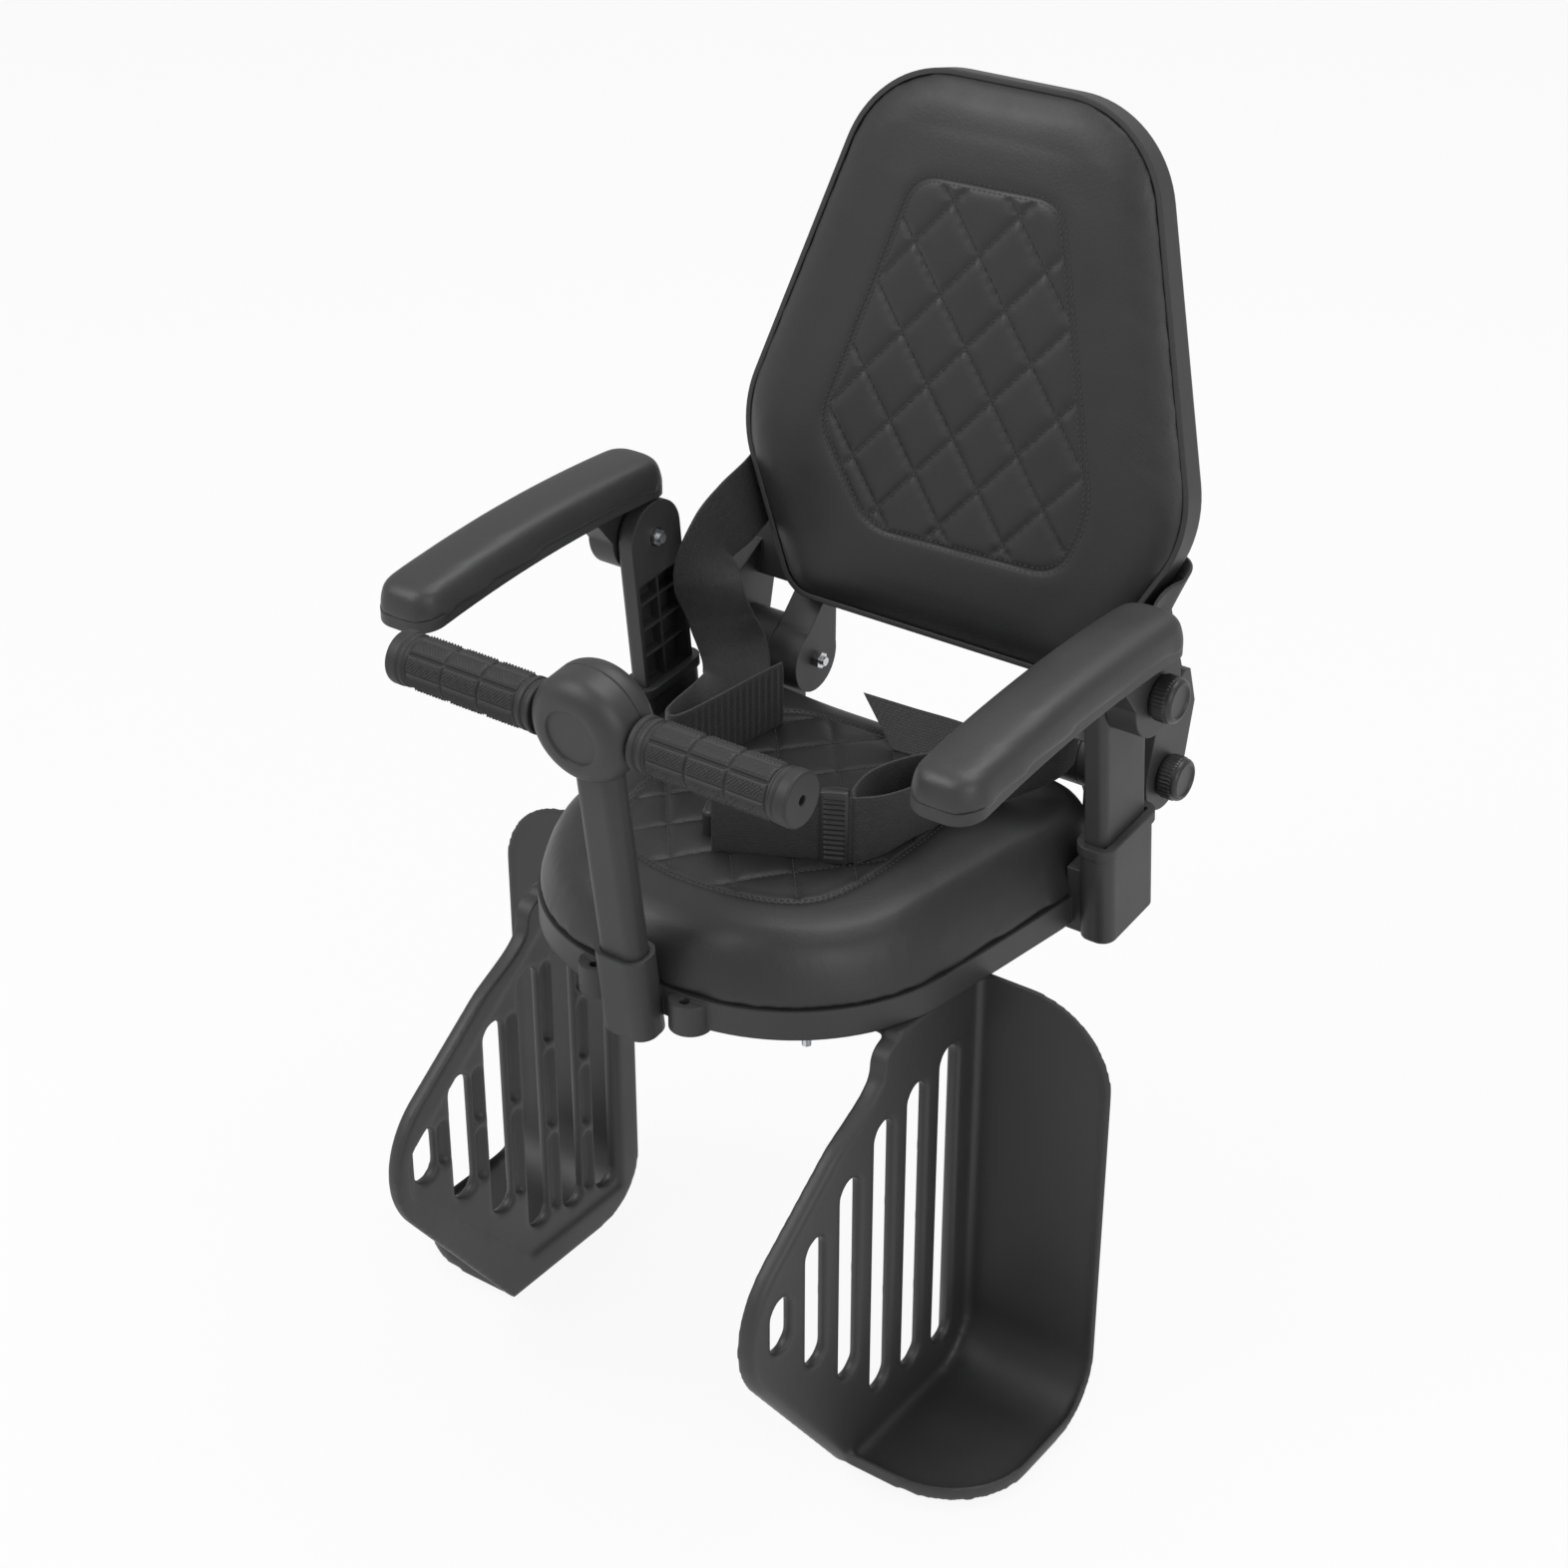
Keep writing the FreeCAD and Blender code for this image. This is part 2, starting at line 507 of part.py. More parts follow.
def arched_bar(body, name, inner, thick, x, width):
    """A strip bent to the arch of the armrest, between two radii, as wide as given along X."""
    drawing = sketch(body, name, "YZ_Plane", x)
    centre = Vector(value(arch_centre[0]), value(arch_centre[1]), 0)
    ends = ("-arm_front", "arm_rear")
    radii = (inner, "%s + %s" % (inner, thick))
    corners = []
    for radius in radii:
        r = value(radius)
        reach = [value(end) - centre.x for end in ends]
        angles = [math.acos(item / r) for item in reach]
        corners.append([centre + Vector(item, math.sqrt(r * r - item * item), 0) for item in reach])
        arc = Part.ArcOfCircle(Part.Circle(centre, Vector(0, 0, 1), r), angles[1], angles[0])
        drawing.addGeometry(arc)
    for end in (0, 1):
        drawing.addGeometry(Part.LineSegment(corners[0][end], corners[1][end]))
    for item, radius in enumerate(radii):
        fix_point(drawing, item, 3, *arch_centre)
        rule = drawing.addConstraint(Sketcher.Constraint("Radius", item, value(radius)))
        bind(drawing, "Constraints[%d]" % rule, radius)
        for end, point in ((0, 2), (1, 1)):
            rule = drawing.addConstraint(
                Sketcher.Constraint("DistanceX", -1, 1, item, point, value(ends[end])))
            bind(drawing, "Constraints[%d]" % rule, ends[end])
            drawing.addConstraint(Sketcher.Constraint("Coincident", 2 + end, 1 + item, item, point))
    return pad(body, drawing, width)


def end_edges(body, face_y):
    """The short upright edges at one end of an arched bar."""
    found = []
    for number, edge in enumerate(body.Tip.Shape.Edges, 1):
        box = edge.BoundBox
        if abs(box.YMin - value(face_y)) < 0.05 and abs(box.YMax - value(face_y)) < 0.05 and box.ZLength > 1:
            found.append("Edge%d" % number)
    return found


def top_edges(body, radius):
    """The edges all round the upper, arched face."""
    shape = body.Tip.Shape
    face = [item for item in shape.Faces if item.Surface.TypeId == "Part::GeomCylinder"
            and abs(item.Surface.Radius - value(radius)) < 0.05][0]
    return ["Edge%d" % number for number, edge in enumerate(shape.Edges, 1)
            if any(edge.isSame(other) for other in face.Edges)]


arm_base = new_body("ArmBase")
place(arm_base, "0", "arm_pivot_y", "arm_pivot_z")
arched_bar(arm_base, "BaseArch", "arch_radius", "base_thick", "pad_middle - pad_width / 2 + base_inset",
           "pad_width - 2 * base_inset")
for face_y in ("-arm_front", "arm_rear"):
    round_edges(arm_base, end_edges(arm_base, face_y), "arm_end_round - base_inset")
lug_side = sketch(arm_base, "LugSide", "YZ_Plane", lug_x)
outline(lug_side, [("-lug_radius", "0"), ("lug_radius", "0"), ("arm_rear - base_inset", "base_rise + base_thick / 2"),
                   ("-2 * lug_radius", "base_rise + base_thick / 2")])
pad(arm_base, lug_side, "lug_thick")
lug_round = sketch(arm_base, "LugRound", "YZ_Plane", lug_x)
circle(lug_round, "0", "0", "lug_radius")
pad(arm_base, lug_round, "lug_thick")
lug_bore = sketch(arm_base, "LugBore", "YZ_Plane", lug_x)
circle(lug_bore, "0", "0", "pivot_radius + bolt_gap")
pocket(arm_base, lug_bore, "lug_thick", ahead=True)
node(arm_base, "left_armrest_base")
node(mirror(arm_base, "ArmBaseTwin"), "right_armrest_base")

arm_pad = new_body("ArmPad")
place(arm_pad, "0", "arm_pivot_y", "arm_pivot_z")
arched_bar(arm_pad, "PadArch", "arch_radius + base_thick", "pad_thick", "pad_middle - pad_width / 2", "pad_width")
for face_y in ("-arm_front", "arm_rear"):
    round_edges(arm_pad, end_edges(arm_pad, face_y), "arm_end_round")
round_edges(arm_pad, top_edges(arm_pad, "arch_radius + base_thick + pad_thick"), "pad_round")
node(arm_pad, "left_armrest_pad")
node(mirror(arm_pad, "ArmPadTwin"), "right_armrest_pad")

# Handlebar: a steel tube through a hub, closed by a front shell and a rear shell that also make the stem
bar_solid = new_body("BarSolid")
place(bar_solid, "0", "-bar_y", "bar_z", "bar_lean")
stem_plan = sketch(bar_solid, "StemPlan", "XY_Plane", "-stem_length + socket_gap")
rectangle(stem_plan, "-stem_width / 2", "-stem_depth / 2", "stem_width / 2", "stem_depth / 2")
pad(bar_solid, stem_plan, "stem_length - bar_radius")
uprights = [number for number, edge in enumerate(bar_solid.Tip.Shape.Edges, 1)
            if abs(edge.tangentAt(edge.FirstParameter).z) > 0.999]
round_edges(bar_solid, ["Edge%d" % number for number in uprights], "stem_round")
hub_block = new_body("HubBlock")
place(hub_block, "0", "-bar_y", "bar_z", "bar_lean")
hub_face = sketch(hub_block, "HubFace", "XZ_Plane", "-hub_depth / 2")
circle(hub_face, "0", "hub_rise", "hub_radius")
pad(hub_block, hub_face, "hub_depth")
round_edges(hub_block, rim_edges(hub_block, 1, "hub_depth / 2") + rim_edges(hub_block, 1, "-hub_depth / 2"),
            "hub_round")
badge = sketch(hub_block, "BadgeSeat", "XZ_Plane", "hub_depth / 2")
circle(badge, "0", "hub_rise", "badge_radius")
pocket(hub_block, badge, "badge_depth")
bar_body = combine("Fuse", "BarBody", bar_solid, hub_block)
bar_bore = rod("BarBore", "bar_radius + grip_fit", "2 * bar_half", "-bar_half", "-bar_y", "bar_z", Vector(1, 0, 0))
bar_bored = combine("Cut", "BarBored", bar_body, bar_bore)


def rear_half_space(name, start):
    """A block that covers everything behind a plane of the leaning handlebar."""
    block = new_body(name)
    place(block, "0", "-bar_y", "bar_z", "bar_lean")
    drawing = sketch(block, name + "Plan", "XY_Plane", "-stem_length - bar_radius")
    rectangle(drawing, "-bar_half", start, "bar_half", "2 * hub_depth")
    pad(block, drawing, "stem_length + 4 * hub_radius")
    return block


node(combine("Cut", "BarFront", bar_bored, rear_half_space("BehindSplit", "shell_split")), "handlebar_front_shell")
node(combine("Common", "BarRear", bar_bored, rear_half_space("BehindGap", "shell_split + shell_gap")),
     "handlebar_rear_shell")
tube_outer = rod("TubeOuter", "bar_radius", "2 * (bar_half - cap_thick)", "-bar_half + cap_thick", "-bar_y", "bar_z",
                 Vector(1, 0, 0))
tube_inner = rod("TubeInner", "bar_radius - bar_wall", "2 * bar_half", "-bar_half", "-bar_y", "bar_z", Vector(1, 0, 0))
node(combine("Cut", "Tube", tube_outer, tube_inner), "handlebar_tube")

# Grips: rubber sleeves with twin flanges at each end and grooves that divide the grip into blocks
grip = new_body("Grip")
place(grip, "0", "-bar_y", "bar_z")
grip_start = "hub_radius + shell_gap"
profile = sketch(grip, "GripProfile", "XY_Plane")
steps = [("0", "flange_radius"), ("flange_thick", "flange_radius"), ("flange_thick", "grip_radius - groove_depth"),
         ("flange_thick + flange_gap", "grip_radius - groove_depth"), ("flange_thick + flange_gap", "flange_radius"),
         ("2 * flange_thick + flange_gap", "flange_radius"), ("2 * flange_thick + flange_gap", "grip_radius - groove_depth"),
         ("2 * flange_thick + 2 * flange_gap", "grip_radius - groove_depth"),
         ("2 * flange_thick + 2 * flange_gap", "grip_radius")]
block_start = "(%s + 2 * flange_thick + 2 * flange_gap)" % grip_start
block_end = "(bar_half - 2 * flange_thick - 2 * flange_gap)"
block_step = "(%s - %s) / 3" % (block_end, block_start)
points = [(grip_start, "bar_radius + grip_fit")]
points += [("%s + %s" % (grip_start, across), up) for across, up in steps]
for ring in (1, 2):
    middle = "%s + %d * %s" % (block_start, ring, block_step)
    points += [(middle + " - groove_width / 2", "grip_radius"),
               (middle + " - groove_width / 2", "grip_radius - groove_depth"),
               (middle + " + groove_width / 2", "grip_radius - groove_depth"),
               (middle + " + groove_width / 2", "grip_radius")]
points += [("bar_half - (%s)" % across, up) for across, up in reversed(steps)]
points += [("bar_half", "grip_hole"), ("bar_half - cap_thick + grip_fit", "grip_hole"),
           ("bar_half - cap_thick + grip_fit", "bar_radius + grip_fit")]
outline(profile, points)
turned = grip.newObject("PartDesign::Revolution", "GripTurned")
turned.Profile = profile
turned.ReferenceAxis = (profile, ["H_Axis"])
turned.Angle = 360
doc.recompute()
flute = sketch(grip, "GripFlute", "YZ_Plane", block_start)
rectangle(flute, "-groove_width / 2", "grip_radius - groove_depth", "groove_width / 2", "grip_radius + groove_depth")
flute_cut = pocket(grip, flute, "%s - %s" % (block_end, block_start), ahead=True)
flutes = grip.newObject("PartDesign::PolarPattern", "GripFlutes")
flutes.Originals = [flute_cut]
flutes.Axis = (flute, ["N_Axis"])
flutes.Angle = 360
bind(flutes, "Occurrences", "flute_count")
grip.Tip = flutes
doc.recompute()
node(grip, "left_grip")
node(mirror(grip, "GripTwin"), "right_grip")

# Backrest shell: a shallow moulded tray, drawn upright and leaned back about the hinge
def back_points(inset):
    """The corners of the backrest's outline from the bottom up, drawn in by an inset."""
    return both_sides([("back_bottom_half - %s" % inset, "back_bottom + %s" % inset),
                       ("back_wide_half - %s" % inset, "back_wide"),
                       ("back_top_half - %s" % inset, "back_top - %s" % inset)])


def back_block(name, rear, thick, inset):
    """The backrest's outline raised forward from a rear plane, with rounded corners."""
    body = new_body(name)
    place(body, "0", "hinge_y", "hinge_z", "-recline")
    drawing = sketch(body, name + "Outline", "XZ_Plane", "-(%s)" % rear)
    corners = back_points(inset)
    outline(drawing, corners)
    pad(body, drawing, thick)
    for pair, radius in ((0, "back_bottom_round"), (1, "back_wide_round"), (2, "back_top_round")):
        round_edges(body, corner_edges(body, 1, [corners[pair], corners[5 - pair]]), "%s - %s" % (radius, inset))
    return body


shell = back_block("BackShell", "shell_rear", "shell_front + shell_rear", "0 * back_inset")
round_edges(shell, rim_edges(shell, 1, "shell_rear"), "shell_round")
front_face = ["Face%d" % number for number, face in enumerate(shell.Tip.Shape.Faces, 1)
              if abs(face.BoundBox.YMax + value("shell_front")) < 0.05]
hollow = shell.newObject("PartDesign::Thickness", "ShellHollow")
hollow.Base = (hollow.BaseFeature, front_face)
hollow.Reversed = True
bind(hollow, "Value", "shell_wall")
doc.recompute()
screw_spots = [("knuckle_inner + screw_inset", "back_bottom + screw_low"),
               ("knuckle_inner + screw_inset", "back_bottom + screw_low + screw_up"),
               ("knuckle_inner + screw_inset + screw_across", "back_bottom + screw_low + screw_up")]
shell_bores = sketch(shell, "ShellBores", "XZ_Plane", "-shell_rear")
for across, up in both_sides(screw_spots):
    circle(shell_bores, across, up, "screw_radius + bolt_gap")
pocket(shell, shell_bores, "2 * shell_wall", ahead=True)
node(shell, "backrest_shell")

# Backrest cushion: padded, seated in the shell's tray with a narrow groove round it
back_pad = back_block("BackCushion", "shell_rear - shell_wall", "back_cushion_front + shell_rear - shell_wall",
                      "back_inset")
round_edges(back_pad, rim_edges(back_pad, 1, "-back_cushion_front"), "back_cushion_round")
node(back_pad, "backrest_cushion")

# Backrest brackets: a plate behind the shell with two arms that straddle the pan's ear
bracket = new_body("Bracket")
place(bracket, "0", "hinge_y", "hinge_z", "-recline")
outer_arm = "knuckle_inner + knuckle_thick + ear_thick + 2 * side_play"
plate = sketch(bracket, "BracketPlate", "XZ_Plane", "-shell_rear - bracket_thick")
plate_edge = outer_arm + " + outer_arm_thick - plate_trim"
outline(plate, [("knuckle_inner", "bracket_foot"), (plate_edge, "bracket_foot"),
                (plate_edge, "bracket_foot + knuckle_radius"), (outer_arm + " - 2 * plate_trim", "bracket_top"),
                ("knuckle_inner", "bracket_top")])
pad(bracket, plate, "bracket_thick")
for name, start, thick in (("InnerArm", "knuckle_inner", "knuckle_thick"),
                           ("OuterArm", outer_arm, "outer_arm_thick")):
    arm = sketch(bracket, name, "YZ_Plane", start)
    front_side = [("shell_rear", "bracket_foot"), ("-knuckle_radius / 2", "bracket_foot / 2")]
    rear_side = [("-knuckle_radius", "0"), ("knuckle_radius", "0")]
    if name == "OuterArm":
        front_side = [("-knuckle_radius", "bracket_foot")]
        rear_side.append(("knuckle_radius", "bracket_foot"))
    outline(arm, rear_side + [("shell_rear + bracket_thick", "bracket_foot + knuckle_radius"),
                              ("shell_rear", "bracket_foot + knuckle_radius")] + front_side)
    pad(bracket, arm, thick)
    end = sketch(bracket, name + "End", "YZ_Plane", start)
    circle(end, "0", "0", "knuckle_radius")
    pad(bracket, end, thick)
    bore = sketch(bracket, name + "Bore", "YZ_Plane", start)
    circle(bore, "0", "0", "pivot_radius + bolt_gap")
    pocket(bracket, bore, thick, ahead=True)
bracket_bores = sketch(bracket, "BracketBores", "XZ_Plane", "-shell_rear - bracket_thick")
for across, up in screw_spots:
    circle(bracket_bores, across, up, "screw_radius + bolt_gap")
pocket(bracket, bracket_bores, "bracket_thick", ahead=True)
node(bracket, "left_backrest_bracket")
node(mirror(bracket, "BracketTwin"), "right_backrest_bracket")

one_side = []
for index, (across, up) in enumerate(screw_spots):
    screw = new_body("BracketScrew%d" % index)
    place(screw, "0", "hinge_y", "hinge_z", "-recline")
    shank = sketch(screw, "Shank%d" % index, "XZ_Plane", "-shell_rear - bracket_thick")
    circle(shank, across, up, "screw_radius")
    pad(screw, shank, "bracket_thick + shell_wall - bolt_gap")
    head = sketch(screw, "Head%d" % index, "XZ_Plane", "-shell_rear - bracket_thick")
    circle(head, across, up, "screw_head_radius")
    pad(screw, head, "screw_head_thick", back=True)
    one_side += [screw, mirror(screw, "BracketScrewTwin%d" % index)]
group("bracket_screws", one_side)


# Pivot hardware: a steel bolt held by a fluted clamp knob outside and a lock nut inside
def clamp_knob(name, x, y, z):
    """A fluted plastic knob whose base lies at x, with a hollow for the bolt's head."""
    body = new_body(name)
    place(body, x, y, z)
    base = sketch(body, name + "Base", "YZ_Plane")
    circle(base, "0", "0", "knob_radius")
    pad(body, base, "knob_thick")
    round_edges(body, rim_edges(body, 0, "knob_thick"), "knob_round")
    dish = sketch(body, name + "Dish", "YZ_Plane", "knob_thick")
    circle(dish, "0", "0", "knob_dish_radius")
    pocket(body, dish, "knob_dish_depth")
    seat = sketch(body, name + "HeadSeat", "YZ_Plane")
    circle(seat, "0", "0", "nut_corner + bolt_gap")
    pocket(body, seat, "bolt_head_thick + bolt_gap", ahead=True)
    notch = sketch(body, name + "Flute", "YZ_Plane")
    circle(notch, "0", "knob_radius + flute_radius * 0.75", "flute_radius")
    cut = pocket(body, notch, "knob_thick", ahead=True)
    ring = body.newObject("PartDesign::PolarPattern", name + "Flutes")
    ring.Originals = [cut]
    ring.Axis = (notch, ["N_Axis"])
    ring.Angle = 360
    bind(ring, "Occurrences", "flute_count")
    body.Tip = ring
    doc.recompute()
    return body


def hex_bolt(name, tip, base, y, z):
    """A bolt from its tip near the nut to its hexagon head in the knob."""
    shank = rod(name + "Shank", "pivot_radius", "%s - (%s) + bolt_head_thick / 2" % (base, tip), tip, y, z,
                Vector(1, 0, 0))
    head = doc.addObject("Part::Prism", name + "Head")
    head.Polygon = 6
    bind(head, "Circumradius", "nut_corner")
    bind(head, "Height", "bolt_head_thick")
    place(head, base, y, z)
    head.Placement.Rotation = Rotation(Vector(0, 0, 1), Vector(1, 0, 0))
    doc.recompute()
    return combine("Fuse", name, shank, head)


def lock_nut(name, start, y, z):
    """A hexagon nut with a clear bore round the bolt."""
    solid = doc.addObject("Part::Prism", name + "Hex")
    solid.Polygon = 6
    bind(solid, "Circumradius", "nut_corner")
    bind(solid, "Height", "nut_thick")
    place(solid, start, y, z)
    solid.Placement.Rotation = Rotation(Vector(0, 0, 1), Vector(1, 0, 0))
    bore = rod(name + "Bore", "pivot_radius + bolt_gap", "nut_thick", start, y, z, Vector(1, 0, 0))
    doc.recompute()
    return combine("Cut", name, solid, bore)


arm_knob_x = lug_x + " + lug_thick + arm_gap / 2"
arm_nut_x = "post_inner + nut_sink - nut_thick"
back_knob_x = outer_arm + " + outer_arm_thick + arm_gap / 2"
back_nut_x = "knuckle_inner - nut_thick"
pivots = {"armrest": (arm_knob_x, arm_nut_x, "arm_pivot_y", "arm_pivot_z"),
          "backrest": (back_knob_x, back_nut_x, "hinge_y", "hinge_z")}
for which, (knob_x, nut_x, y, z) in pivots.items():
    knob = clamp_knob(which.title() + "Knob", knob_x, y, z)
    bolt = hex_bolt(which.title() + "Bolt", "%s - bolt_stand" % nut_x, knob_x, y, z)
    nut = lock_nut(which.title() + "Nut", nut_x, y, z)
    node(knob, "left_%s_knob" % which)
    node(mirror(knob, which + "KnobTwin"), "right_%s_knob" % which)
    node(bolt, "left_%s_bolt" % which)
    node(mirror(bolt, which + "BoltTwin"), "right_%s_bolt" % which)
    group("%s_pivot_nuts" % which, [nut, mirror(nut, which + "NutTwin")])

# Footrests: a slotted leg guard with a heel wall and a foot platform, bolted under the pan
foot = new_body("FootPanel")
foot_top = "(pan_top - skirt_height - foot_seat_gap)"
wheel_face = "leg_face - panel_thick"
panel_corners = [("crease_y + skin_thick", foot_top), ("-tab_y", foot_top), ("-neck_y", "-neck_z"),
                 ("-tip_y", "-tip_z"), ("-toe_y", "-foot_floor - skin_thick"),
                 ("crease_y + skin_thick", "-foot_floor - skin_thick")]
panel = sketch(foot, "PanelOutline", "YZ_Plane", wheel_face)
outline(panel, panel_corners)
pad(foot, panel, "panel_thick")
round_edges(foot, corner_edges(foot, 0, [panel_corners[2]]), "neck_round")
round_edges(foot, corner_edges(foot, 0, [panel_corners[3]]), "tip_round")
round_edges(foot, corner_edges(foot, 0, [panel_corners[5]]), "foot_bend + skin_thick")


def slanting_edge(body):
    """The straight edge of the leg face along the slanting front of the panel."""
    middle = Vector(value("leg_face"), value("-(neck_y + tip_y) / 2"), value("-(neck_z + tip_z) / 2"))
    gaps = [(edge.distToShape(Part.Vertex(middle))[0], number)
            for number, edge in enumerate(body.Tip.Shape.Edges, 1)]
    return ["Edge%d" % min(gaps)[1]]


round_edges(foot, slanting_edge(foot), "panel_round")

slot_rows = []
for place_in_row in range(6):
    from_rear = 5 - place_in_row
    near = min(from_rear, 2)
    far = from_rear - near
    slot_rows.append(("-slot_first + %d * slot_pitch" % place_in_row,
                      "-slot_top - %d * slot_top_step - %d * slot_front_step" % (near, far),
                      "-slot_low + %d * slot_low_step + %d * slot_toe_step" % (near, far)))
zone = new_body("SlotZone")
zone_side = sketch(zone, "SlotZoneSide", "YZ_Plane", wheel_face)
zone_corners = [("-slot_first + 5 * slot_pitch + zone_margin", "-slot_top + zone_margin"),
                ("-slot_first + 3 * slot_pitch + zone_margin", "-slot_top + zone_margin"),
                ("-zone_tip_y", "-zone_tip_z"), ("-zone_tip_y", "-zone_tip_low"),
                ("-slot_first + 3 * slot_pitch - zone_margin", "-slot_low - zone_margin + slot_low_step"),
                ("-slot_first + 5 * slot_pitch + zone_margin", "-slot_low - zone_margin + slot_low_step")]
outline(zone_side, zone_corners)
pad(zone, zone_side, "panel_thick - slot_wall")
round_edges(zone, corner_edges(zone, 0, zone_corners[2:4]), "zone_tip_round")

slots = new_body("Slots")
slot_side = sketch(slots, "SlotSide", "YZ_Plane", wheel_face)
for middle, top, low in slot_rows:
    rectangle(slot_side, middle + " - slot_width / 2", low, middle + " + slot_width / 2", top)
pad(slots, slot_side, "panel_thick")
along_x = [number for number, edge in enumerate(slots.Tip.Shape.Edges, 1)
           if abs(edge.tangentAt(edge.FirstParameter).x) > 0.999]
round_edges(slots, ["Edge%d" % number for number in along_x], "slot_width * 0.49")
channels = new_body("Channels")
channel_side = sketch(channels, "ChannelSide", "YZ_Plane", wheel_face)
for (middle, top, low), (after, after_top, after_low) in zip(slot_rows, slot_rows[1:]):
    across = "(%s + %s) / 2" % (middle, after)
    bays = max(1, round((value(top) - value(low)) / 60))
    for bay in range(bays):
        bay_low = "%s + skin_thick + ((%s) - (%s)) * %d / %d" % (low, top, low, bay, bays)
        bay_top = "%s - skin_thick - ((%s) - (%s)) * %d / %d" % (top, top, low, bays - 1 - bay, bays)
        rectangle(channel_side, across + " - channel_width / 2", bay_low, across + " + channel_width / 2", bay_top)
pad(channels, channel_side, "panel_thick - skin_thick")


def foot_tray(name, x, width, rear, low, thick, bend, corner, trim):
    """The heel wall and platform as one bent plate, standing out from the leg guard."""
    body = new_body(name)
    side = sketch(body, name + "Side", "YZ_Plane", x)
    inner_y = "%s - %s" % (rear, thick)
    inner_z = "%s + %s" % (low, thick)
    front = "-toe_y + " + trim
    top = foot_top + " - " + trim
    outline(side, [(inner_y, top), (rear, top), (rear, low), (front, low), (front, inner_z), (inner_y, inner_z)])
    pad(body, side, width)
    round_edges(body, corner_edges(body, 0, [(rear, low)]), bend)
    round_edges(body, corner_edges(body, 0, [(inner_y, inner_z)]), "%s - (%s)" % (bend, thick))
    outer_x = "%s + %s" % (x, width)
    round_edges(body, corner_edges(body, 1, [(outer_x, top)]), corner)
    round_edges(body, corner_edges(body, 2, [(outer_x, front)]), corner)
    return body


tray = foot_tray("FootTray", "leg_face - skin_thick / 2", "foot_width + skin_thick / 2", "crease_y + skin_thick",
                 "-foot_floor - skin_thick", "foot_lip + skin_thick", "foot_bend + skin_thick", "foot_corner",
                 "0 * skin_thick")
tray_hollow = foot_tray("FootTrayHollow", "leg_face", "foot_width - skin_thick", "crease_y", "-foot_floor",
                        "foot_lip * 1.2", "foot_bend", "foot_corner - skin_thick", "skin_thick")
tray_cut = combine("Cut", "FootTrayCut", tray, tray_hollow)

flange = new_body("FootFlange")
flange_plan = sketch(flange, "FlangePlan", "XY_Plane", foot_top + " - foot_flange_thick")
rectangle(flange_plan, "flange_inner", "-foot_bolt_y - foot_bolt_pitch - flange_margin", "leg_face - skin_thick / 2",
          "-foot_bolt_y + flange_margin")
pad(flange, flange_plan, "foot_flange_thick")
plate_open = combine("Cut", "PanelSlotted", foot, fuse_all("PanelOpenings", [zone, slots, channels]))
foot_whole = fuse_all("FootWhole", [plate_open, tray_cut, flange])
foot_holes = []
for step in ("0", "1"):
    foot_holes.append(rod("FlangeBore", "stud_radius + bolt_gap", "2 * foot_flange_thick", "foot_bolt_x",
                          "-foot_bolt_y - %s * foot_bolt_pitch" % step, foot_top + " - 1.5 * foot_flange_thick",
                          Vector(0, 0, 1)))
footrest = combine("Cut", "Footrest", foot_whole, fuse_all("FlangeBores", foot_holes))
node(footrest, "left_footrest")
node(mirror(footrest, "FootrestTwin"), "right_footrest")

# Footrest bolts: up through the flange of each footrest into the pan
bolts = []
for sx in ("", "-"):
    for step in ("0", "1"):
        spot = (sx + "foot_bolt_x", "-foot_bolt_y - %s * foot_bolt_pitch" % step)
        under = foot_top + " - foot_flange_thick"
        shank = rod("FootBoltShank", "stud_radius", "foot_flange_thick + skirt_height - 2 * pan_wall", *spot, under,
                    Vector(0, 0, 1))
        head = rod("FootBoltHead", "bolt_head_radius", "bolt_head_thick", *spot, under + " - bolt_head_thick",
                   Vector(0, 0, 1))
        bolts.append(combine("Fuse", "FootBolt", shank, head))
group("footrest_bolts", bolts)


# Harness: two lengths of webbing from the backrest's lower edges, a buckle and a keeper on the seat
def webbing(label, route):
    """Flat strap along a route of (point, edge direction), with flat facets between its cross-sections."""
    half_width = value("webbing_width / 2")
    half_thick = value("webbing_thick / 2")
    points = [Vector(*point) for point, hint in route]
    rings = []
    for i, (point, hint) in enumerate(route):
        along = points[min(i + 1, len(points) - 1)] - points[max(i - 1, 0)]
        along.normalize()
        edge = Vector(*hint)
        edge = edge - along * edge.dot(along)
        edge.normalize()
        face = along.cross(edge)
        corners = [points[i] + edge * (a * half_width) + face * (b * half_thick)
                   for a, b in ((-1, -1), (1, -1), (1, 1), (-1, 1))]
        rings.append(corners)
    facets = [rings[0][::-1], rings[-1]]
    for ring, after in zip(rings, rings[1:]):
        for a in range(4):
            b = (a + 1) % 4
            if a == 2:
                facets += [[ring[a], ring[b], after[a]], [ring[b], after[b], after[a]]]
            else:
                facets += [[ring[a], ring[b], after[b]], [ring[a], after[b], after[a]]]
    faces = [Part.Face(Part.makePolygon(facet + facet[:1])) for facet in facets]
    skin = Part.Shell(faces)
    skin.sewShape()
    solid = Part.Solid(skin)
    if solid.Volume < 0:
        solid.reverse()
    strap = doc.addObject("Part::Feature", label)
    strap.Shape = solid
    return node(strap, label)


seat_level = value("pan_top + cushion_thick")
edge_level = seat_level + value("webbing_width / 2") + 0.3
keeper_spot = Vector(58.8, -32.6, seat_level)
keeper_turn = Rotation(Vector(0, 0, 1), -63.4)
keeper_along = keeper_turn.multVec(Vector(0, 1, 0))


def past_keeper(distance):
    """Point of the belt's middle line this far behind the keeper, along the keeper's slot."""
    spot = keeper_spot + keeper_along * distance
    return spot.x, spot.y, edge_level


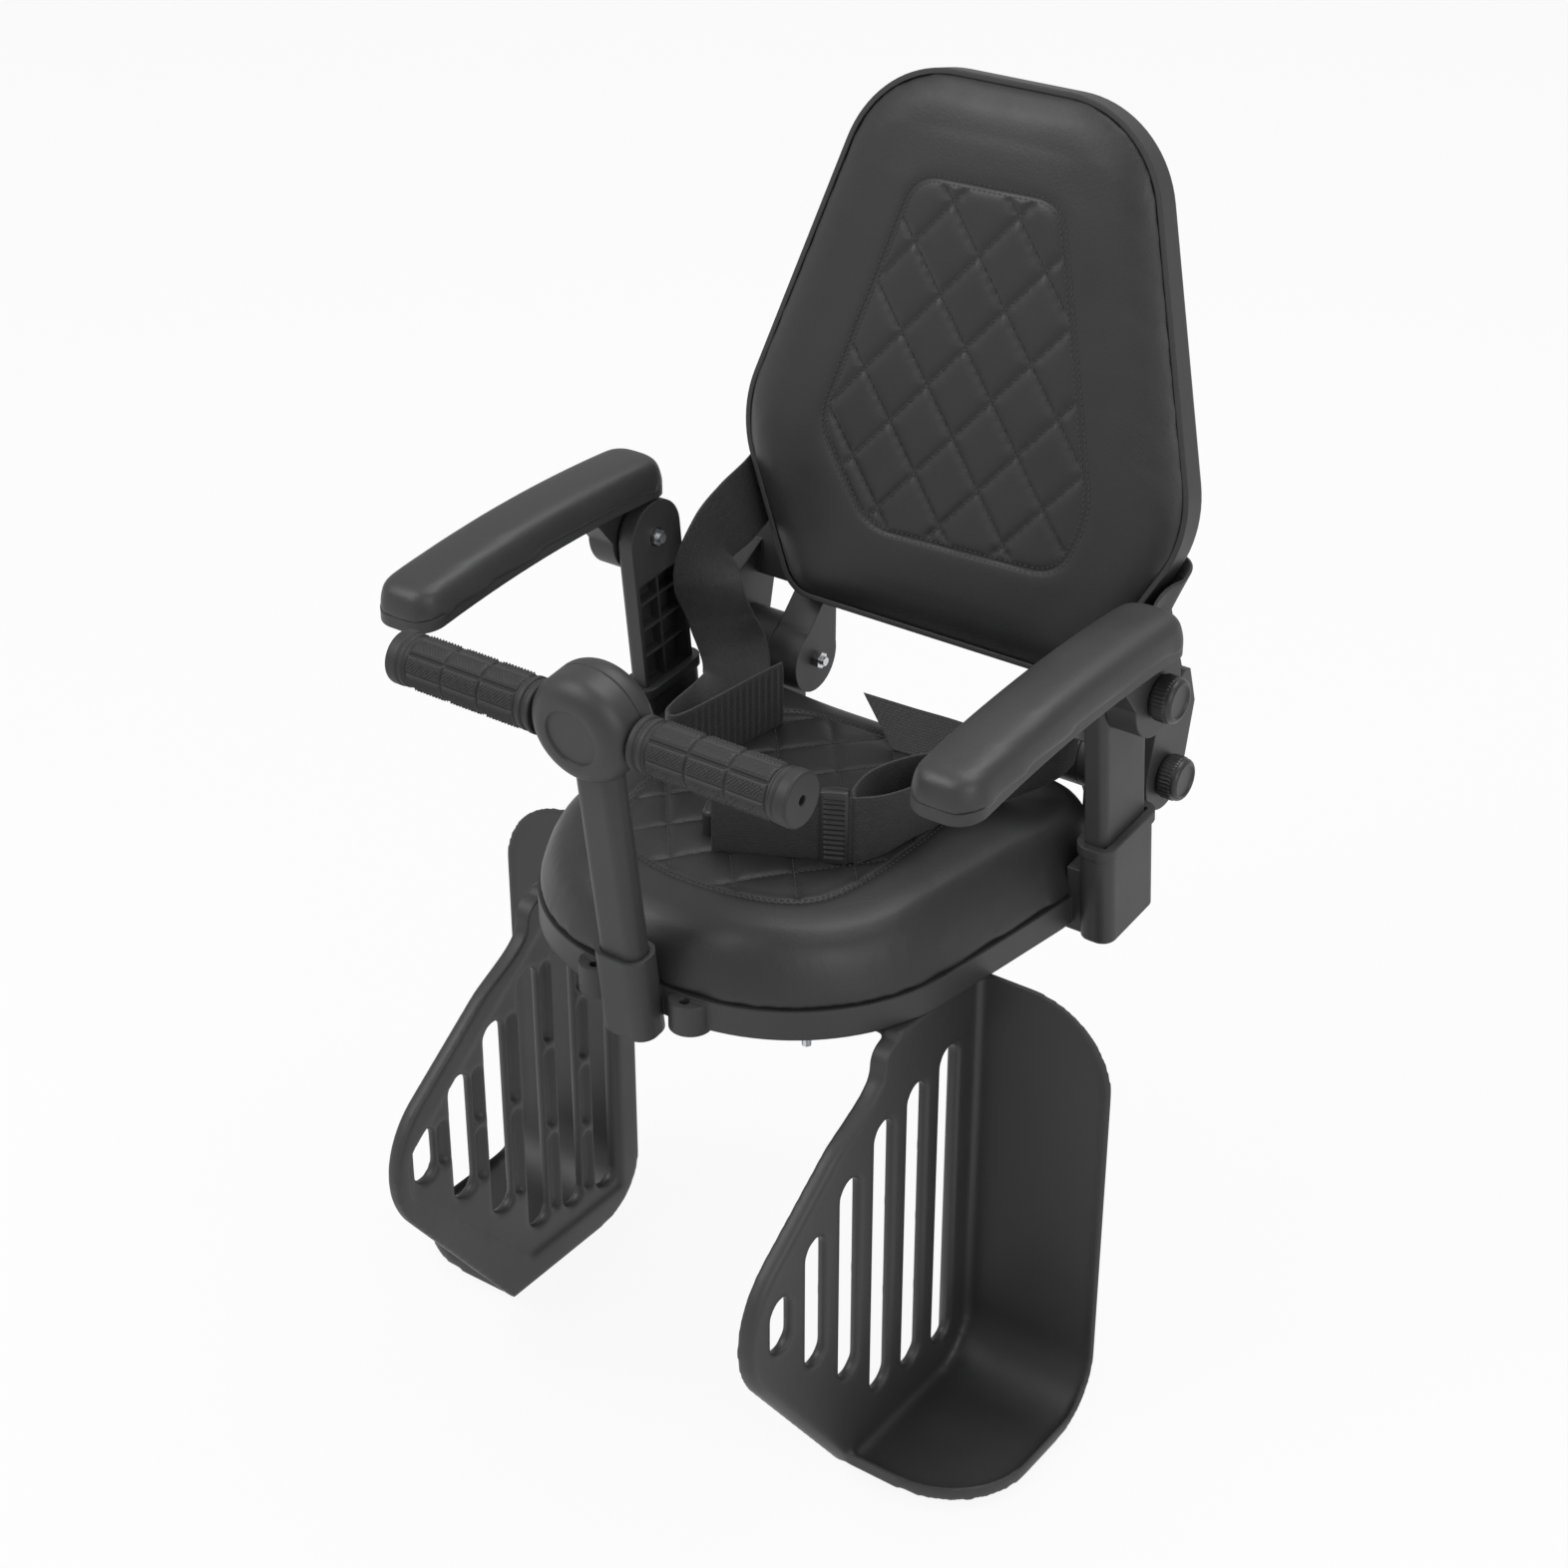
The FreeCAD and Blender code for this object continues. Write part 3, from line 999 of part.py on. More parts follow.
webbing("left_belt", [
    ((132, 199, 180), (0.1, 0.2, 0.97)), ((159, 199, 179), (0.15, 0.2, 0.96)),
    ((165, 190, 178), (0.2, 0.2, 0.95)), ((161, 171, 174), (0.25, 0.2, 0.94)),
    ((153, 150, 164), (0.4, 0.1, 0.91)), ((146, 128, 130), (0.6, 0.1, 0.8)),
    ((132, 112, 104), (0.5, 0.2, 0.85)), ((110, 84, edge_level + 2), (0.3, 0.1, 0.95)),
    ((88, 50, edge_level), (0, 0, 1)), ((75, 12, edge_level), (0, 0, 1)),
    (past_keeper(13), (0, 0, 1)), (past_keeper(-13), (0, 0, 1)), (past_keeper(-73), (0, 0, 1))])
webbing("right_belt", [
    ((-132, 199, 180), (-0.1, 0.2, 0.97)), ((-159, 199, 179), (-0.15, 0.2, 0.96)),
    ((-165, 190, 177), (-0.2, 0.2, 0.95)), ((-161, 170, 172), (-0.25, 0.2, 0.94)),
    ((-152, 150, 169), (-0.4, 0.1, 0.91)), ((-147, 122, 160), (-0.3, -0.25, 0.92)),
    ((-140, 108, 138), (-0.75, -0.5, 0.43)), ((-132, 112, 110), (-0.9, -0.42, 0.1)),
    ((-121, 116, edge_level + 2), (-0.8, -0.55, 0.3)), ((-104, 110, edge_level), (-0.5, -0.4, 0.7)),
    ((-84, 98, edge_level), (-0.1, -0.1, 0.98)), ((-64, 83, edge_level), (0, 0, 1)),
    ((-67, 58, edge_level), (0, 0, 1)), ((-73, 4, edge_level), (0, 0, 1))])

keeper = new_body("BeltKeeper")
keeper.Placement = Placement(keeper_spot, keeper_turn)
keeper_plan = sketch(keeper, "KeeperPlan", "XZ_Plane", "-buckle_thick / 2")
rectangle(keeper_plan, "-2 * webbing_thick", "0", "2 * webbing_thick", "webbing_width + 2 * webbing_thick")
pad(keeper, keeper_plan, "buckle_thick")
keeper_slot = sketch(keeper, "KeeperSlot", "XZ_Plane", "buckle_thick / 2")
rectangle(keeper_slot, "-webbing_thick * 0.75", "0.3 - webbing_thick / 4", "webbing_thick * 0.75",
          "webbing_width + webbing_thick / 2")
pocket(keeper, keeper_slot, "buckle_thick")
node(keeper, "belt_keeper")

buckle = new_body("BuckleSocket")
buckle.Placement = Placement(Vector(-4, -24, seat_level), Rotation(Vector(0, 0, 1), 23.4))
buckle_plan = sketch(buckle, "BucklePlan", "XY_Plane")
outline(buckle_plan, [("-buckle_long / 2", "-buckle_wide / 2"), ("buckle_long / 2", "-buckle_wide / 2.4"),
                      ("buckle_long / 2", "buckle_wide / 2.4"), ("-buckle_long / 2", "buckle_wide / 2")])
pad(buckle, buckle_plan, "buckle_thick")
uprights = [number for number, edge in enumerate(buckle.Tip.Shape.Edges, 1)
            if abs(edge.tangentAt(edge.FirstParameter).z) > 0.999]
round_edges(buckle, ["Edge%d" % number for number in uprights], "buckle_round")
round_edges(buckle, rim_edges(buckle, 2, "buckle_thick"), "buckle_round / 2")
blade_slot = sketch(buckle, "BladeSlot", "YZ_Plane", "buckle_long / 2")
rectangle(blade_slot, "-buckle_wide / 3 - socket_gap", "buckle_thick / 3 - socket_gap",
          "buckle_wide / 3 + socket_gap", "buckle_thick * 2 / 3 + socket_gap")
pocket(buckle, blade_slot, "buckle_long / 2")
node(buckle, "buckle_socket")
tongue = new_body("BuckleTongue")
tongue.Placement = buckle.Placement
blade = sketch(tongue, "Blade", "YZ_Plane", "2 * socket_gap")
rectangle(blade, "-buckle_wide / 3", "buckle_thick / 3", "buckle_wide / 3", "buckle_thick * 2 / 3")
pad(tongue, blade, "buckle_long * 0.7")
plug = sketch(tongue, "Plug", "YZ_Plane", "buckle_long / 2 + 2 * socket_gap")
rectangle(plug, "-buckle_wide / 2.5", "0", "buckle_wide / 2.5", "buckle_thick * 0.85")
pad(tongue, plug, "buckle_long * 0.35")
node(tongue, "buckle_tongue")

# Check and export
doc.recompute()
for obj in doc.Objects:
    if "Invalid" in obj.State or "Error" in obj.State:
        raise RuntimeError("object not built: " + obj.Name)
for obj in nodes:
    shape = obj.Shape
    if shape.isNull() or not shape.isValid() or not shape.Solids or shape.Volume <= 0:
        raise RuntimeError("no valid solid: " + obj.Label)
    shape.exportStep("parts/%s.step" % obj.Label)
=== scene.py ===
"""Rear child bike seat: looks, soft parts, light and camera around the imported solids."""
import json
import math

import bmesh
import bpy
import numpy as np
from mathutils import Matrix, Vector
from mathutils.bvhtree import BVHTree


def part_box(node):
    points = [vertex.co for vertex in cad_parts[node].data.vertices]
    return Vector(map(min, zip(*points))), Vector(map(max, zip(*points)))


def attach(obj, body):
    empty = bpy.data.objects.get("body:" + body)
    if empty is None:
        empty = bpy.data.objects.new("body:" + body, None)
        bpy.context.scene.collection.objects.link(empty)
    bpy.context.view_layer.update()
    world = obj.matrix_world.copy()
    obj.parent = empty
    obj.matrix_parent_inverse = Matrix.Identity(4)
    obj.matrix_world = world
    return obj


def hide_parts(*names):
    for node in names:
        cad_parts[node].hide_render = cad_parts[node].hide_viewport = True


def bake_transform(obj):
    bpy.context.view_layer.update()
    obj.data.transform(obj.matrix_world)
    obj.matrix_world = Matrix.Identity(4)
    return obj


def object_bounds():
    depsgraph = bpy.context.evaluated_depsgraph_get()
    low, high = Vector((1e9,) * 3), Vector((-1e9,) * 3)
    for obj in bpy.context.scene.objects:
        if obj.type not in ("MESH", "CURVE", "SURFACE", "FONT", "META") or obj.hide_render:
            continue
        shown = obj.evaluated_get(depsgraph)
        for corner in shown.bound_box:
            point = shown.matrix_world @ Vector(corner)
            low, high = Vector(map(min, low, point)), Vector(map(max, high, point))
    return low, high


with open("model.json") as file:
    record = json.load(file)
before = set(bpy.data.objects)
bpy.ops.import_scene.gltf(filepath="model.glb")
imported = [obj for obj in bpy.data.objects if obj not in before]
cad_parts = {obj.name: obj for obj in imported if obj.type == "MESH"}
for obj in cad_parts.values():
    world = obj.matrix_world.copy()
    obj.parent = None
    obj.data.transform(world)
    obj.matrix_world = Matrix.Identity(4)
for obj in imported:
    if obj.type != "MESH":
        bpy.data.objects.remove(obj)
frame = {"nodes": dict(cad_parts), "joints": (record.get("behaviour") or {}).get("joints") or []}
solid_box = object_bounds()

# Studio: a pale seamless floor under the hanging footrests, soft overhead light and a white
# surround. The surround looks white to the camera alone, and the floor to the camera and in
# reflections, so the lamps and a dimmer light all round set how bright the seat is.
FLOOR_DROP = 0.006
FLOOR_HALF = 6.0
SURROUND = "#fdfdfd"
SURROUND_LIGHT = 0.55
PAPER = "#e9e9e9"
PAPER_GLOW = 0.93
CAMERA_PLACE = (0.8965, -1.2402, 0.9648)
CAMERA_TURN = (60.1, 0.0, 35.9)
LENS = 67.56


def linear(hex_colour):
    """An sRGB hex colour as linear red, green, blue and alpha."""
    parts = np.array([int(hex_colour[i:i + 2], 16) for i in (1, 3, 5)]) / 255
    flat = np.where(parts <= 0.04045, parts / 12.92, ((parts + 0.055) / 1.055) ** 2.4)
    return (*flat.tolist(), 1.0)


def add_node(tree, kind, inputs=None, **settings):
    """Add a node: settings go on it, and each input takes a value or a link from a socket."""
    node = tree.nodes.new(kind)
    for name, setting in settings.items():
        setattr(node, name, setting)
    for name, item in (inputs or {}).items():
        if isinstance(item, bpy.types.NodeSocket):
            tree.links.new(item, node.inputs[name])
        else:
            node.inputs[name].default_value = item
    return node


def seen_directly(tree):
    """1 for camera, glossy and transmission rays, 0 for the rest."""
    ray = add_node(tree, "ShaderNodeLightPath").outputs
    first = add_node(tree, "ShaderNodeMath", {0: ray["Is Camera Ray"], 1: ray["Is Glossy Ray"]},
                     operation="MAXIMUM")
    both = add_node(tree, "ShaderNodeMath", {0: first.outputs[0], 1: ray["Is Transmission Ray"]},
                    operation="MAXIMUM")
    return both.outputs[0]


scene = bpy.context.scene
scene.view_settings.view_transform = "Standard"
world = bpy.data.worlds.new("studio_surround")
world.use_nodes = True
scene.world = world
tree = world.node_tree
tree.nodes.clear()
soft = add_node(tree, "ShaderNodeBackground", {"Color": linear("#ffffff"), "Strength": SURROUND_LIGHT})
white = add_node(tree, "ShaderNodeBackground", {"Color": linear(SURROUND), "Strength": 1.0})
path = add_node(tree, "ShaderNodeLightPath")
blend = add_node(tree, "ShaderNodeMixShader", {0: path.outputs["Is Camera Ray"], 1: soft.outputs[0],
                                               2: white.outputs[0]})
add_node(tree, "ShaderNodeOutputWorld", {"Surface": blend.outputs[0]})

floor_height = solid_box[0][2] - FLOOR_DROP
floor_corners = [(x * FLOOR_HALF, y * FLOOR_HALF, floor_height)
                 for x, y in ((-1, -1), (1, -1), (1, 1), (-1, 1))]
floor_mesh = bpy.data.meshes.new("floor")
floor_mesh.from_pydata(floor_corners, [], [(0, 1, 2, 3)])
floor = bpy.data.objects.new("floor", floor_mesh)
scene.collection.objects.link(floor)
paper = bpy.data.materials.new("studio_paper")
paper.use_nodes = True
tree = paper.node_tree
tree.nodes.clear()
matte = add_node(tree, "ShaderNodeBsdfDiffuse", {"Color": linear(PAPER)})
glow = add_node(tree, "ShaderNodeEmission", {"Color": linear(SURROUND), "Strength": 1.0})
share = add_node(tree, "ShaderNodeMath", {0: seen_directly(tree), 1: PAPER_GLOW}, operation="MULTIPLY")
blend = add_node(tree, "ShaderNodeMixShader", {0: share.outputs[0], 1: matte.outputs[0], 2: glow.outputs[0]})
add_node(tree, "ShaderNodeOutputMaterial", {"Surface": blend.outputs[0]})
floor_mesh.materials.append(paper)

for name, place, aim, size, power in (
        ("key_softbox", (-1.3, -1.6, 2.3), (0, 0, 0.15), 1.8, 46),
        ("fill_softbox", (2.3, -1.0, 1.3), (0, 0, 0.1), 1.6, 22),
        ("top_softbox", (0.3, 0.9, 2.4), (0, 0.1, 0.2), 1.6, 30)):
    lamp = bpy.data.lights.new(name, "AREA")
    lamp.size = size
    lamp.energy = power
    lamp_object = bpy.data.objects.new(name, lamp)
    lamp_object.location = place
    lamp_object.rotation_euler = (Vector(aim) - Vector(place)).to_track_quat("-Z", "Y").to_euler()
    scene.collection.objects.link(lamp_object)

camera_data = bpy.data.cameras.new("camera")
camera_data.lens = LENS
camera_data.sensor_width = 36
camera = bpy.data.objects.new("camera", camera_data)
camera.location = CAMERA_PLACE
camera.rotation_euler = [math.radians(angle) for angle in CAMERA_TURN]
scene.collection.objects.link(camera)
scene.camera = camera

# Moulded pieces: pan, footrests, posts, armrest bases, handlebar shells, brackets and the tray of
# the backrest, all injection-moulded in charcoal polypropylene. The tool is spark-textured, which
# gives a fine even grain and a broad soft sheen.
MOULDED = ("seat_pan", "left_armrest_post", "right_armrest_post", "left_armrest_base", "right_armrest_base",
           "handlebar_front_shell", "handlebar_rear_shell", "backrest_shell", "left_backrest_bracket",
           "right_backrest_bracket")
PLASTIC_DRIFT_MM = 60
GLOSS_DRIFT = 0.05
NOISE_RANGE = (0.3, 0.7)
PLASTIC_IOR = 1.49


def new_material(name):
    """An empty node material and its tree, with the shader already on the output."""
    material = bpy.data.materials.new(name)
    material.use_nodes = True
    tree = material.node_tree
    tree.nodes.clear()
    shader = add_node(tree, "ShaderNodeBsdfPrincipled")
    add_node(tree, "ShaderNodeOutputMaterial", {"Surface": shader.outputs[0]})
    return material, tree, shader


def dress(node, material):
    """Give a CAD node one material."""
    mesh = frame["nodes"][node].data
    mesh.materials.clear()
    mesh.materials.append(material)


def tint(tree, shader, pattern, dark, light, smooth, rough, span=(0.0, 1.0)):
    """Let tone and roughness follow a pattern, from dark and smooth to light and rough.

    Roughness runs over the part `span` of the pattern's range.
    """
    tone = add_node(tree, "ShaderNodeMix", {0: pattern, 6: linear(dark), 7: linear(light)}, data_type="RGBA")
    tree.links.new(tone.outputs[2], shader.inputs["Base Color"])
    gloss = add_node(tree, "ShaderNodeMapRange", {0: pattern, 1: span[0], 2: span[1], 3: smooth, 4: rough})
    tree.links.new(gloss.outputs[0], shader.inputs["Roughness"])


def moulded_plastic(name, dark, light, roughness, grain_mm, depth_mm, edge_mm):
    """Textured thermoplastic: grain as a noise bump, with slow drifts of tone and gloss.

    Edges shade as if rounded over by `edge_mm`, as a mould leaves them.
    """
    material, tree, shader = new_material(name)
    where = add_node(tree, "ShaderNodeTexCoord").outputs["Object"]
    drift = add_node(tree, "ShaderNodeTexNoise", {"Vector": where, "Scale": 1000 / PLASTIC_DRIFT_MM,
                                                  "Detail": 3.0})
    tint(tree, shader, drift.outputs["Fac"], dark, light, roughness - GLOSS_DRIFT, roughness + GLOSS_DRIFT,
         NOISE_RANGE)
    grain = add_node(tree, "ShaderNodeTexNoise", {"Vector": where, "Scale": 1000 / grain_mm, "Detail": 2.0})
    edge = add_node(tree, "ShaderNodeBevel", {"Radius": edge_mm / 1000}, samples=6)
    relief = add_node(tree, "ShaderNodeBump", {"Height": grain.outputs["Fac"], "Strength": 1.0,
                                               "Distance": depth_mm / 1000, "Normal": edge.outputs[0]})
    tree.links.new(relief.outputs[0], shader.inputs["Normal"])
    shader.inputs["IOR"].default_value = PLASTIC_IOR
    return material


# The real grain is about 0.2 mm, too fine to show, so it is drawn at 1.6 mm.
polypropylene = moulded_plastic("polypropylene_spark_texture", "#2a2a2b", "#303031", roughness=0.5,
                                grain_mm=1.6, depth_mm=0.05, edge_mm=1.6)
for node in MOULDED:
    dress(node, polypropylene)

# Footrests: slotted leg guards with a foot tray, moulded in one with generous radii everywhere and
# bolted under the pan. The solid's edges are rounded over, and its bolting ear is cut back to the
# pan's outline.
WELD = 1e-5
FOOT_CELL = 0.002
FOOT_ROUNDS = 7
EAR_FRONT = -0.094
EAR_ROOT = -0.048
EAR_NECK = -0.012
EAR_KEPT = 0.1
EAR_CORNER = np.array([-0.080, -0.016])
EAR_ROUND = 0.015


def settle(piece):
    """Apply a piece's modifiers to its mesh and shade it smooth."""
    applied = piece.evaluated_get(bpy.context.evaluated_depsgraph_get())
    piece.data = bpy.data.meshes.new_from_object(applied)
    piece.modifiers.clear()
    piece.data.polygons.foreach_set("use_smooth", np.ones(len(piece.data.polygons), bool))


def remeshed(node, name, cell):
    """A copy of a CAD solid as one skin of even cells."""
    mesh = frame["nodes"][node].data.copy()
    work = bmesh.new()
    work.from_mesh(mesh)
    bmesh.ops.remove_doubles(work, verts=work.verts, dist=WELD)
    work.to_mesh(mesh)
    work.free()
    mesh.materials.clear()
    piece = bpy.data.objects.new(name, mesh)
    scene.collection.objects.link(piece)
    cells = piece.modifiers.new("cells", "REMESH")
    cells.mode = "VOXEL"
    cells.voxel_size = cell
    settle(piece)
    return piece


def read_points(mesh, field="co"):
    """The places of a mesh's points, or their normals, as rows of x, y and z."""
    rows = np.empty(len(mesh.vertices) * 3)
    mesh.vertices.foreach_get(field, rows)
    return rows.reshape(-1, 3)


def write_points(mesh, co):
    """Put a mesh's points in new places."""
    mesh.vertices.foreach_set("co", co.ravel())
    mesh.update()


def eased(part):
    """Smooth step, 3 p^2 - 2 p^3, of a part p held between 0 and 1."""
    part = np.clip(part, 0, 1)
    return part ** 2 * (3 - 2 * part)


for side in ("left", "right"):
    node = side + "_footrest"
    guard = remeshed(node, node + "_moulding", FOOT_CELL)
    co = read_points(guard.data)
    pull = (1 - EAR_KEPT) * eased((co[:, 2] - EAR_ROOT) / (EAR_NECK - EAR_ROOT))
    co[:, 1] += pull * np.maximum(EAR_FRONT - co[:, 1], 0)
    # The ear's upper front corner is drawn in to a round one.
    arm = co[:, 1:] - EAR_CORNER
    corner = (arm[:, 0] < 0) & (arm[:, 1] > 0)
    shrink = np.minimum(1, EAR_ROUND / np.maximum(np.linalg.norm(arm, axis=1), 1e-9))
    co[:, 1:] = EAR_CORNER + arm * np.where(corner, shrink, 1)[:, None]
    write_points(guard.data, co)
    rounded = guard.modifiers.new("radii", "SMOOTH")
    rounded.factor = 0.5
    rounded.iterations = FOOT_ROUNDS
    settle(guard)
    guard.data.materials.append(polypropylene)
    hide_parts(node)
    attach(guard, "seat")

# Buckle: socket and tongue in acetal, harder and shinier than the other mouldings. Its texture is
# finer than 0.2 mm and is drawn at 1.2 mm.
fitting_plastic = moulded_plastic("acetal_fine_texture", "#242425", "#29292a", roughness=0.4,
                                  grain_mm=1.2, depth_mm=0.03, edge_mm=1.0)
for node in ("buckle_socket", "buckle_tongue"):
    dress(node, fitting_plastic)

# Fasteners and tube: zinc-plated steel, bright with a faint blotchy passivated film. The bolts,
# nuts and screws are shown as the solids have them.
BLOTCH_MM = 4
zinc, tree, shader = new_material("zinc_plated_steel")
where = add_node(tree, "ShaderNodeTexCoord").outputs["Object"]
film = add_node(tree, "ShaderNodeTexNoise", {"Vector": where, "Scale": 1000 / BLOTCH_MM, "Detail": 4.0})
tint(tree, shader, film.outputs["Fac"], "#b9bcc0", "#d9dadb", smooth=0.22, rough=0.4)
shader.inputs["Metallic"].default_value = 1.0
for node in ("rack_studs", "footrest_bolts", "post_screws", "bracket_screws", "handlebar_tube",
             "armrest_pivot_nuts", "backrest_pivot_nuts", "left_armrest_bolt", "right_armrest_bolt",
             "left_backrest_bolt", "right_backrest_bolt"):
    dress(node, zinc)

# Seat cushion: foam under stretched imitation leather, sewn as a plain bolster round a quilted
# panel and stapled under the pan. The foam swells it into a soft crown, and the panel and its
# stitch lines are pulled in.
SEAT_PANEL = ((0.048, -0.097), (0.086, -0.062), (0.088, 0.060), (0.070, 0.112))
SEAT_PANEL_ROUND = 0.05
SEAT_PANEL_DROP = 0.0018
SEAT_QUILT = 0.0015
SEAT_VERTEX = (0.0, 0.0)
SEAT_HELD = 0.010
SEAT_OUT = 0.0030
SEAT_DOWN = 0.0030
SEAT_SKIRT = 0.036
FOAM_CELL = 0.006
FOAM_PRESSURE = 4.0
FOAM_STEPS = 20
FOAM_SWELL = 0.0055
FOAM_SHRINK = 0.0030
FOAM_SOFT = 3
FOAM_LEVELS = 2
TAUT_ROUNDS = 40
RIM_BELOW = 0.004
RIM_EASE = 0.002
CORNER_SHARE = 0.48
DIAMOND_WIDE = 0.0465
DIAMOND_LONG = 0.056
QUILT_SPREAD = 0.0026
QUILT_MARGIN = 0.004
PUCKER_STEP = 0.0075
PUCKER_SHARE = 0.05
SEAM_DEPTH = 0.0022
SEAM_SPREAD = 0.0026
PANEL_SLOPE = 0.012
PANEL_START = 0.25
FACING_FROM = 0.3
FACING_SPAN = 0.4
QUILT_LINES = 9
STITCH_PITCH = 0.0036
STITCH_LONG = 0.0027
STITCH_AIM = 0.0006
SEAM_ROWS = (-0.0018, 0.0018)
LEATHER_DRIFT_MM = 45
PEBBLE_DEPTH = 0.00012


def swollen(node, name, resting, cell, swell, shrink, rounds, softness, levels):
    """A CAD solid turned into stuffed, tautly covered foam.

    The solid is remeshed to even cells, drawn in by `shrink` along its normals, and blown up by a
    cloth simulation with inner pressure, in which no point moves more than `swell`. The change from
    the solid is then averaged `rounds` times between neighbours, as a taut cover evens it out, with
    points where `resting` is true left on the solid. The result is smoothed `softness` times and
    subdivided `levels` times.
    """
    piece = remeshed(node, name, cell)
    base = read_points(piece.data)
    held = resting(base)
    start = base - read_points(piece.data, "normal") * np.where(held, 0, shrink)[:, None]
    write_points(piece.data, start)
    group = piece.vertex_groups.new(name="held")
    group.add(np.flatnonzero(held).tolist(), 1.0, "REPLACE")
    cloth = piece.modifiers.new("stuffing", "CLOTH")
    cloth.settings.use_pressure = True
    cloth.settings.uniform_pressure_force = FOAM_PRESSURE
    cloth.settings.vertex_group_mass = "held"
    cloth.settings.effector_weights.gravity = 0
    for step in range(1, FOAM_STEPS + 1):
        scene.frame_set(step)
    blown = piece.evaluated_get(bpy.context.evaluated_depsgraph_get()).to_mesh()
    move = read_points(blown) - start
    piece.modifiers.clear()
    piece.vertex_groups.clear()
    scene.frame_set(1)
    length = np.linalg.norm(move, axis=1, keepdims=True)
    change = start - base + move * np.minimum(1, swell / np.maximum(length, 1e-9))
    pairs = np.empty(len(piece.data.edges) * 2, int)
    piece.data.edges.foreach_get("vertices", pairs)
    one, other = pairs.reshape(-1, 2).T
    shared = np.bincount(pairs, minlength=len(base))[:, None]
    for turn in range(rounds):
        total = np.zeros_like(change)
        np.add.at(total, one, change[other])
        np.add.at(total, other, change[one])
        change = np.where(held[:, None], 0, 0.5 * change + 0.5 * total / shared)
    write_points(piece.data, base + change)
    even = piece.modifiers.new("even", "SMOOTH")
    even.factor = 0.5
    even.iterations = softness
    fine = piece.modifiers.new("fine", "SUBSURF")
    fine.levels = levels
    fine.render_levels = levels
    settle(piece)
    return piece


def drawn_over(piece, height, away, out, down, span):
    """Spread the lower edge of a cover over the rim that it is drawn down to.

    A point at height h above the rim moves outwards by out * fade, and by down * fade against
    `away`; fade is 1 at the rim and eases to 0 at h = span and 4 mm below the rim. Outwards is the
    point's normal less its part along `away`.
    """
    co = read_points(piece.data)
    normals = read_points(piece.data, "normal")
    level = height(co)
    fade = (eased((level + RIM_BELOW) / RIM_EASE) * eased(1 - level / span))[:, None]
    outwards = normals - np.outer(normals @ away, away)
    write_points(piece.data, co + fade * (out * outwards - down * away))


def mirrored(corners):
    """A closed outline from the corners of its right half, bottom to top."""
    half = np.array(corners)
    return np.vstack([half, half[::-1] * (-1, 1)])


def rounded_outline(loop, radius, count=10):
    """A closed outline with each corner rounded by a quadratic curve.

    The curve starts and ends `radius` from the corner, or nearly half way along a shorter side.
    """
    before = np.roll(loop, 1, axis=0) - loop
    after = np.roll(loop, -1, axis=0) - loop
    before *= np.minimum(radius / np.linalg.norm(before, axis=1), CORNER_SHARE)[:, None]
    after *= np.minimum(radius / np.linalg.norm(after, axis=1), CORNER_SHARE)[:, None]
    t = np.linspace(0, 1, count)[None, :, None]
    curve = ((1 - t) ** 2 * (loop + before)[:, None] + 2 * t * (1 - t) * loop[:, None]
             + t ** 2 * (loop + after)[:, None])
    return curve.reshape(-1, 2)


def depth_inside(points, loop):
    """How far each point lies inside a closed outline; negative outside."""
    a = loop
    b = np.roll(loop, -1, axis=0)
    p = points[:, None]
    edge = b - a
    along = np.clip(((p - a) * edge).sum(2) / (edge ** 2).sum(1), 0, 1)
    nearest = np.linalg.norm(p - a - along[..., None] * edge, axis=2).min(1)
    crosses = (a[:, 1] > p[..., 1]) != (b[:, 1] > p[..., 1])
    rise = np.where(edge[:, 1] == 0, 1e-12, edge[:, 1])
    reach = (p[..., 1] - a[:, 1]) / rise * edge[:, 0] + a[:, 0]
    inside = (crosses & (p[..., 0] < reach)).sum(1) % 2 == 1
    return np.where(inside, nearest, -nearest)


def sewn_in(points, loop, origin, depth, drop):
    """How deep the sewing pulls the cover in at each point of the panel's plane.

    Two families of straight seams cross into diamonds. Each seam sinks the cover by
    depth * exp(-distance / spread) inside the panel, a little deeper and shallower by turns where
    the thread puckers it. The panel as a whole drops by `drop` within 12 mm of its outline, and
    the outline is a seam too.
    """
    across = (points[:, 0] - origin[0]) / DIAMOND_WIDE
    along = (points[:, 1] - origin[1]) / DIAMOND_LONG
    slope = math.hypot(1 / DIAMOND_WIDE, 1 / DIAMOND_LONG)
    side = math.hypot(DIAMOND_WIDE, DIAMOND_LONG) / 2
    rising = np.abs(across + along - np.round(across + along)) / slope
    falling = np.abs(across - along - np.round(across - along)) / slope
    walk = np.where(rising < falling, across - along, across + along) * side
    pucker = 1 + PUCKER_SHARE * np.sin(2 * math.pi * walk / PUCKER_STEP)
    inside = depth_inside(points, loop)
    seams = depth * pucker * np.exp(-np.minimum(rising, falling) / QUILT_SPREAD)
    seams = seams * np.clip(inside / QUILT_MARGIN, 0, 1)
    border = SEAM_DEPTH * np.exp(-np.abs(inside) / SEAM_SPREAD)
    return np.maximum(seams, border) + drop * eased(inside / PANEL_SLOPE + PANEL_START)


def push_in(piece, sink, direction):
    """Move the faces that look along `direction` inwards by `sink`, fading out on the sides."""
    co = read_points(piece.data)
    turned_to = read_points(piece.data, "normal") @ direction
    facing = np.clip((turned_to - FACING_FROM) / FACING_SPAN, 0, 1)
    write_points(piece.data, co - np.outer(sink(co) * facing, direction))


def walked(line):
    """Length from the start of a line to each of its points."""
    return np.concatenate([[0], np.cumsum(np.linalg.norm(np.diff(line, axis=0), axis=1))])


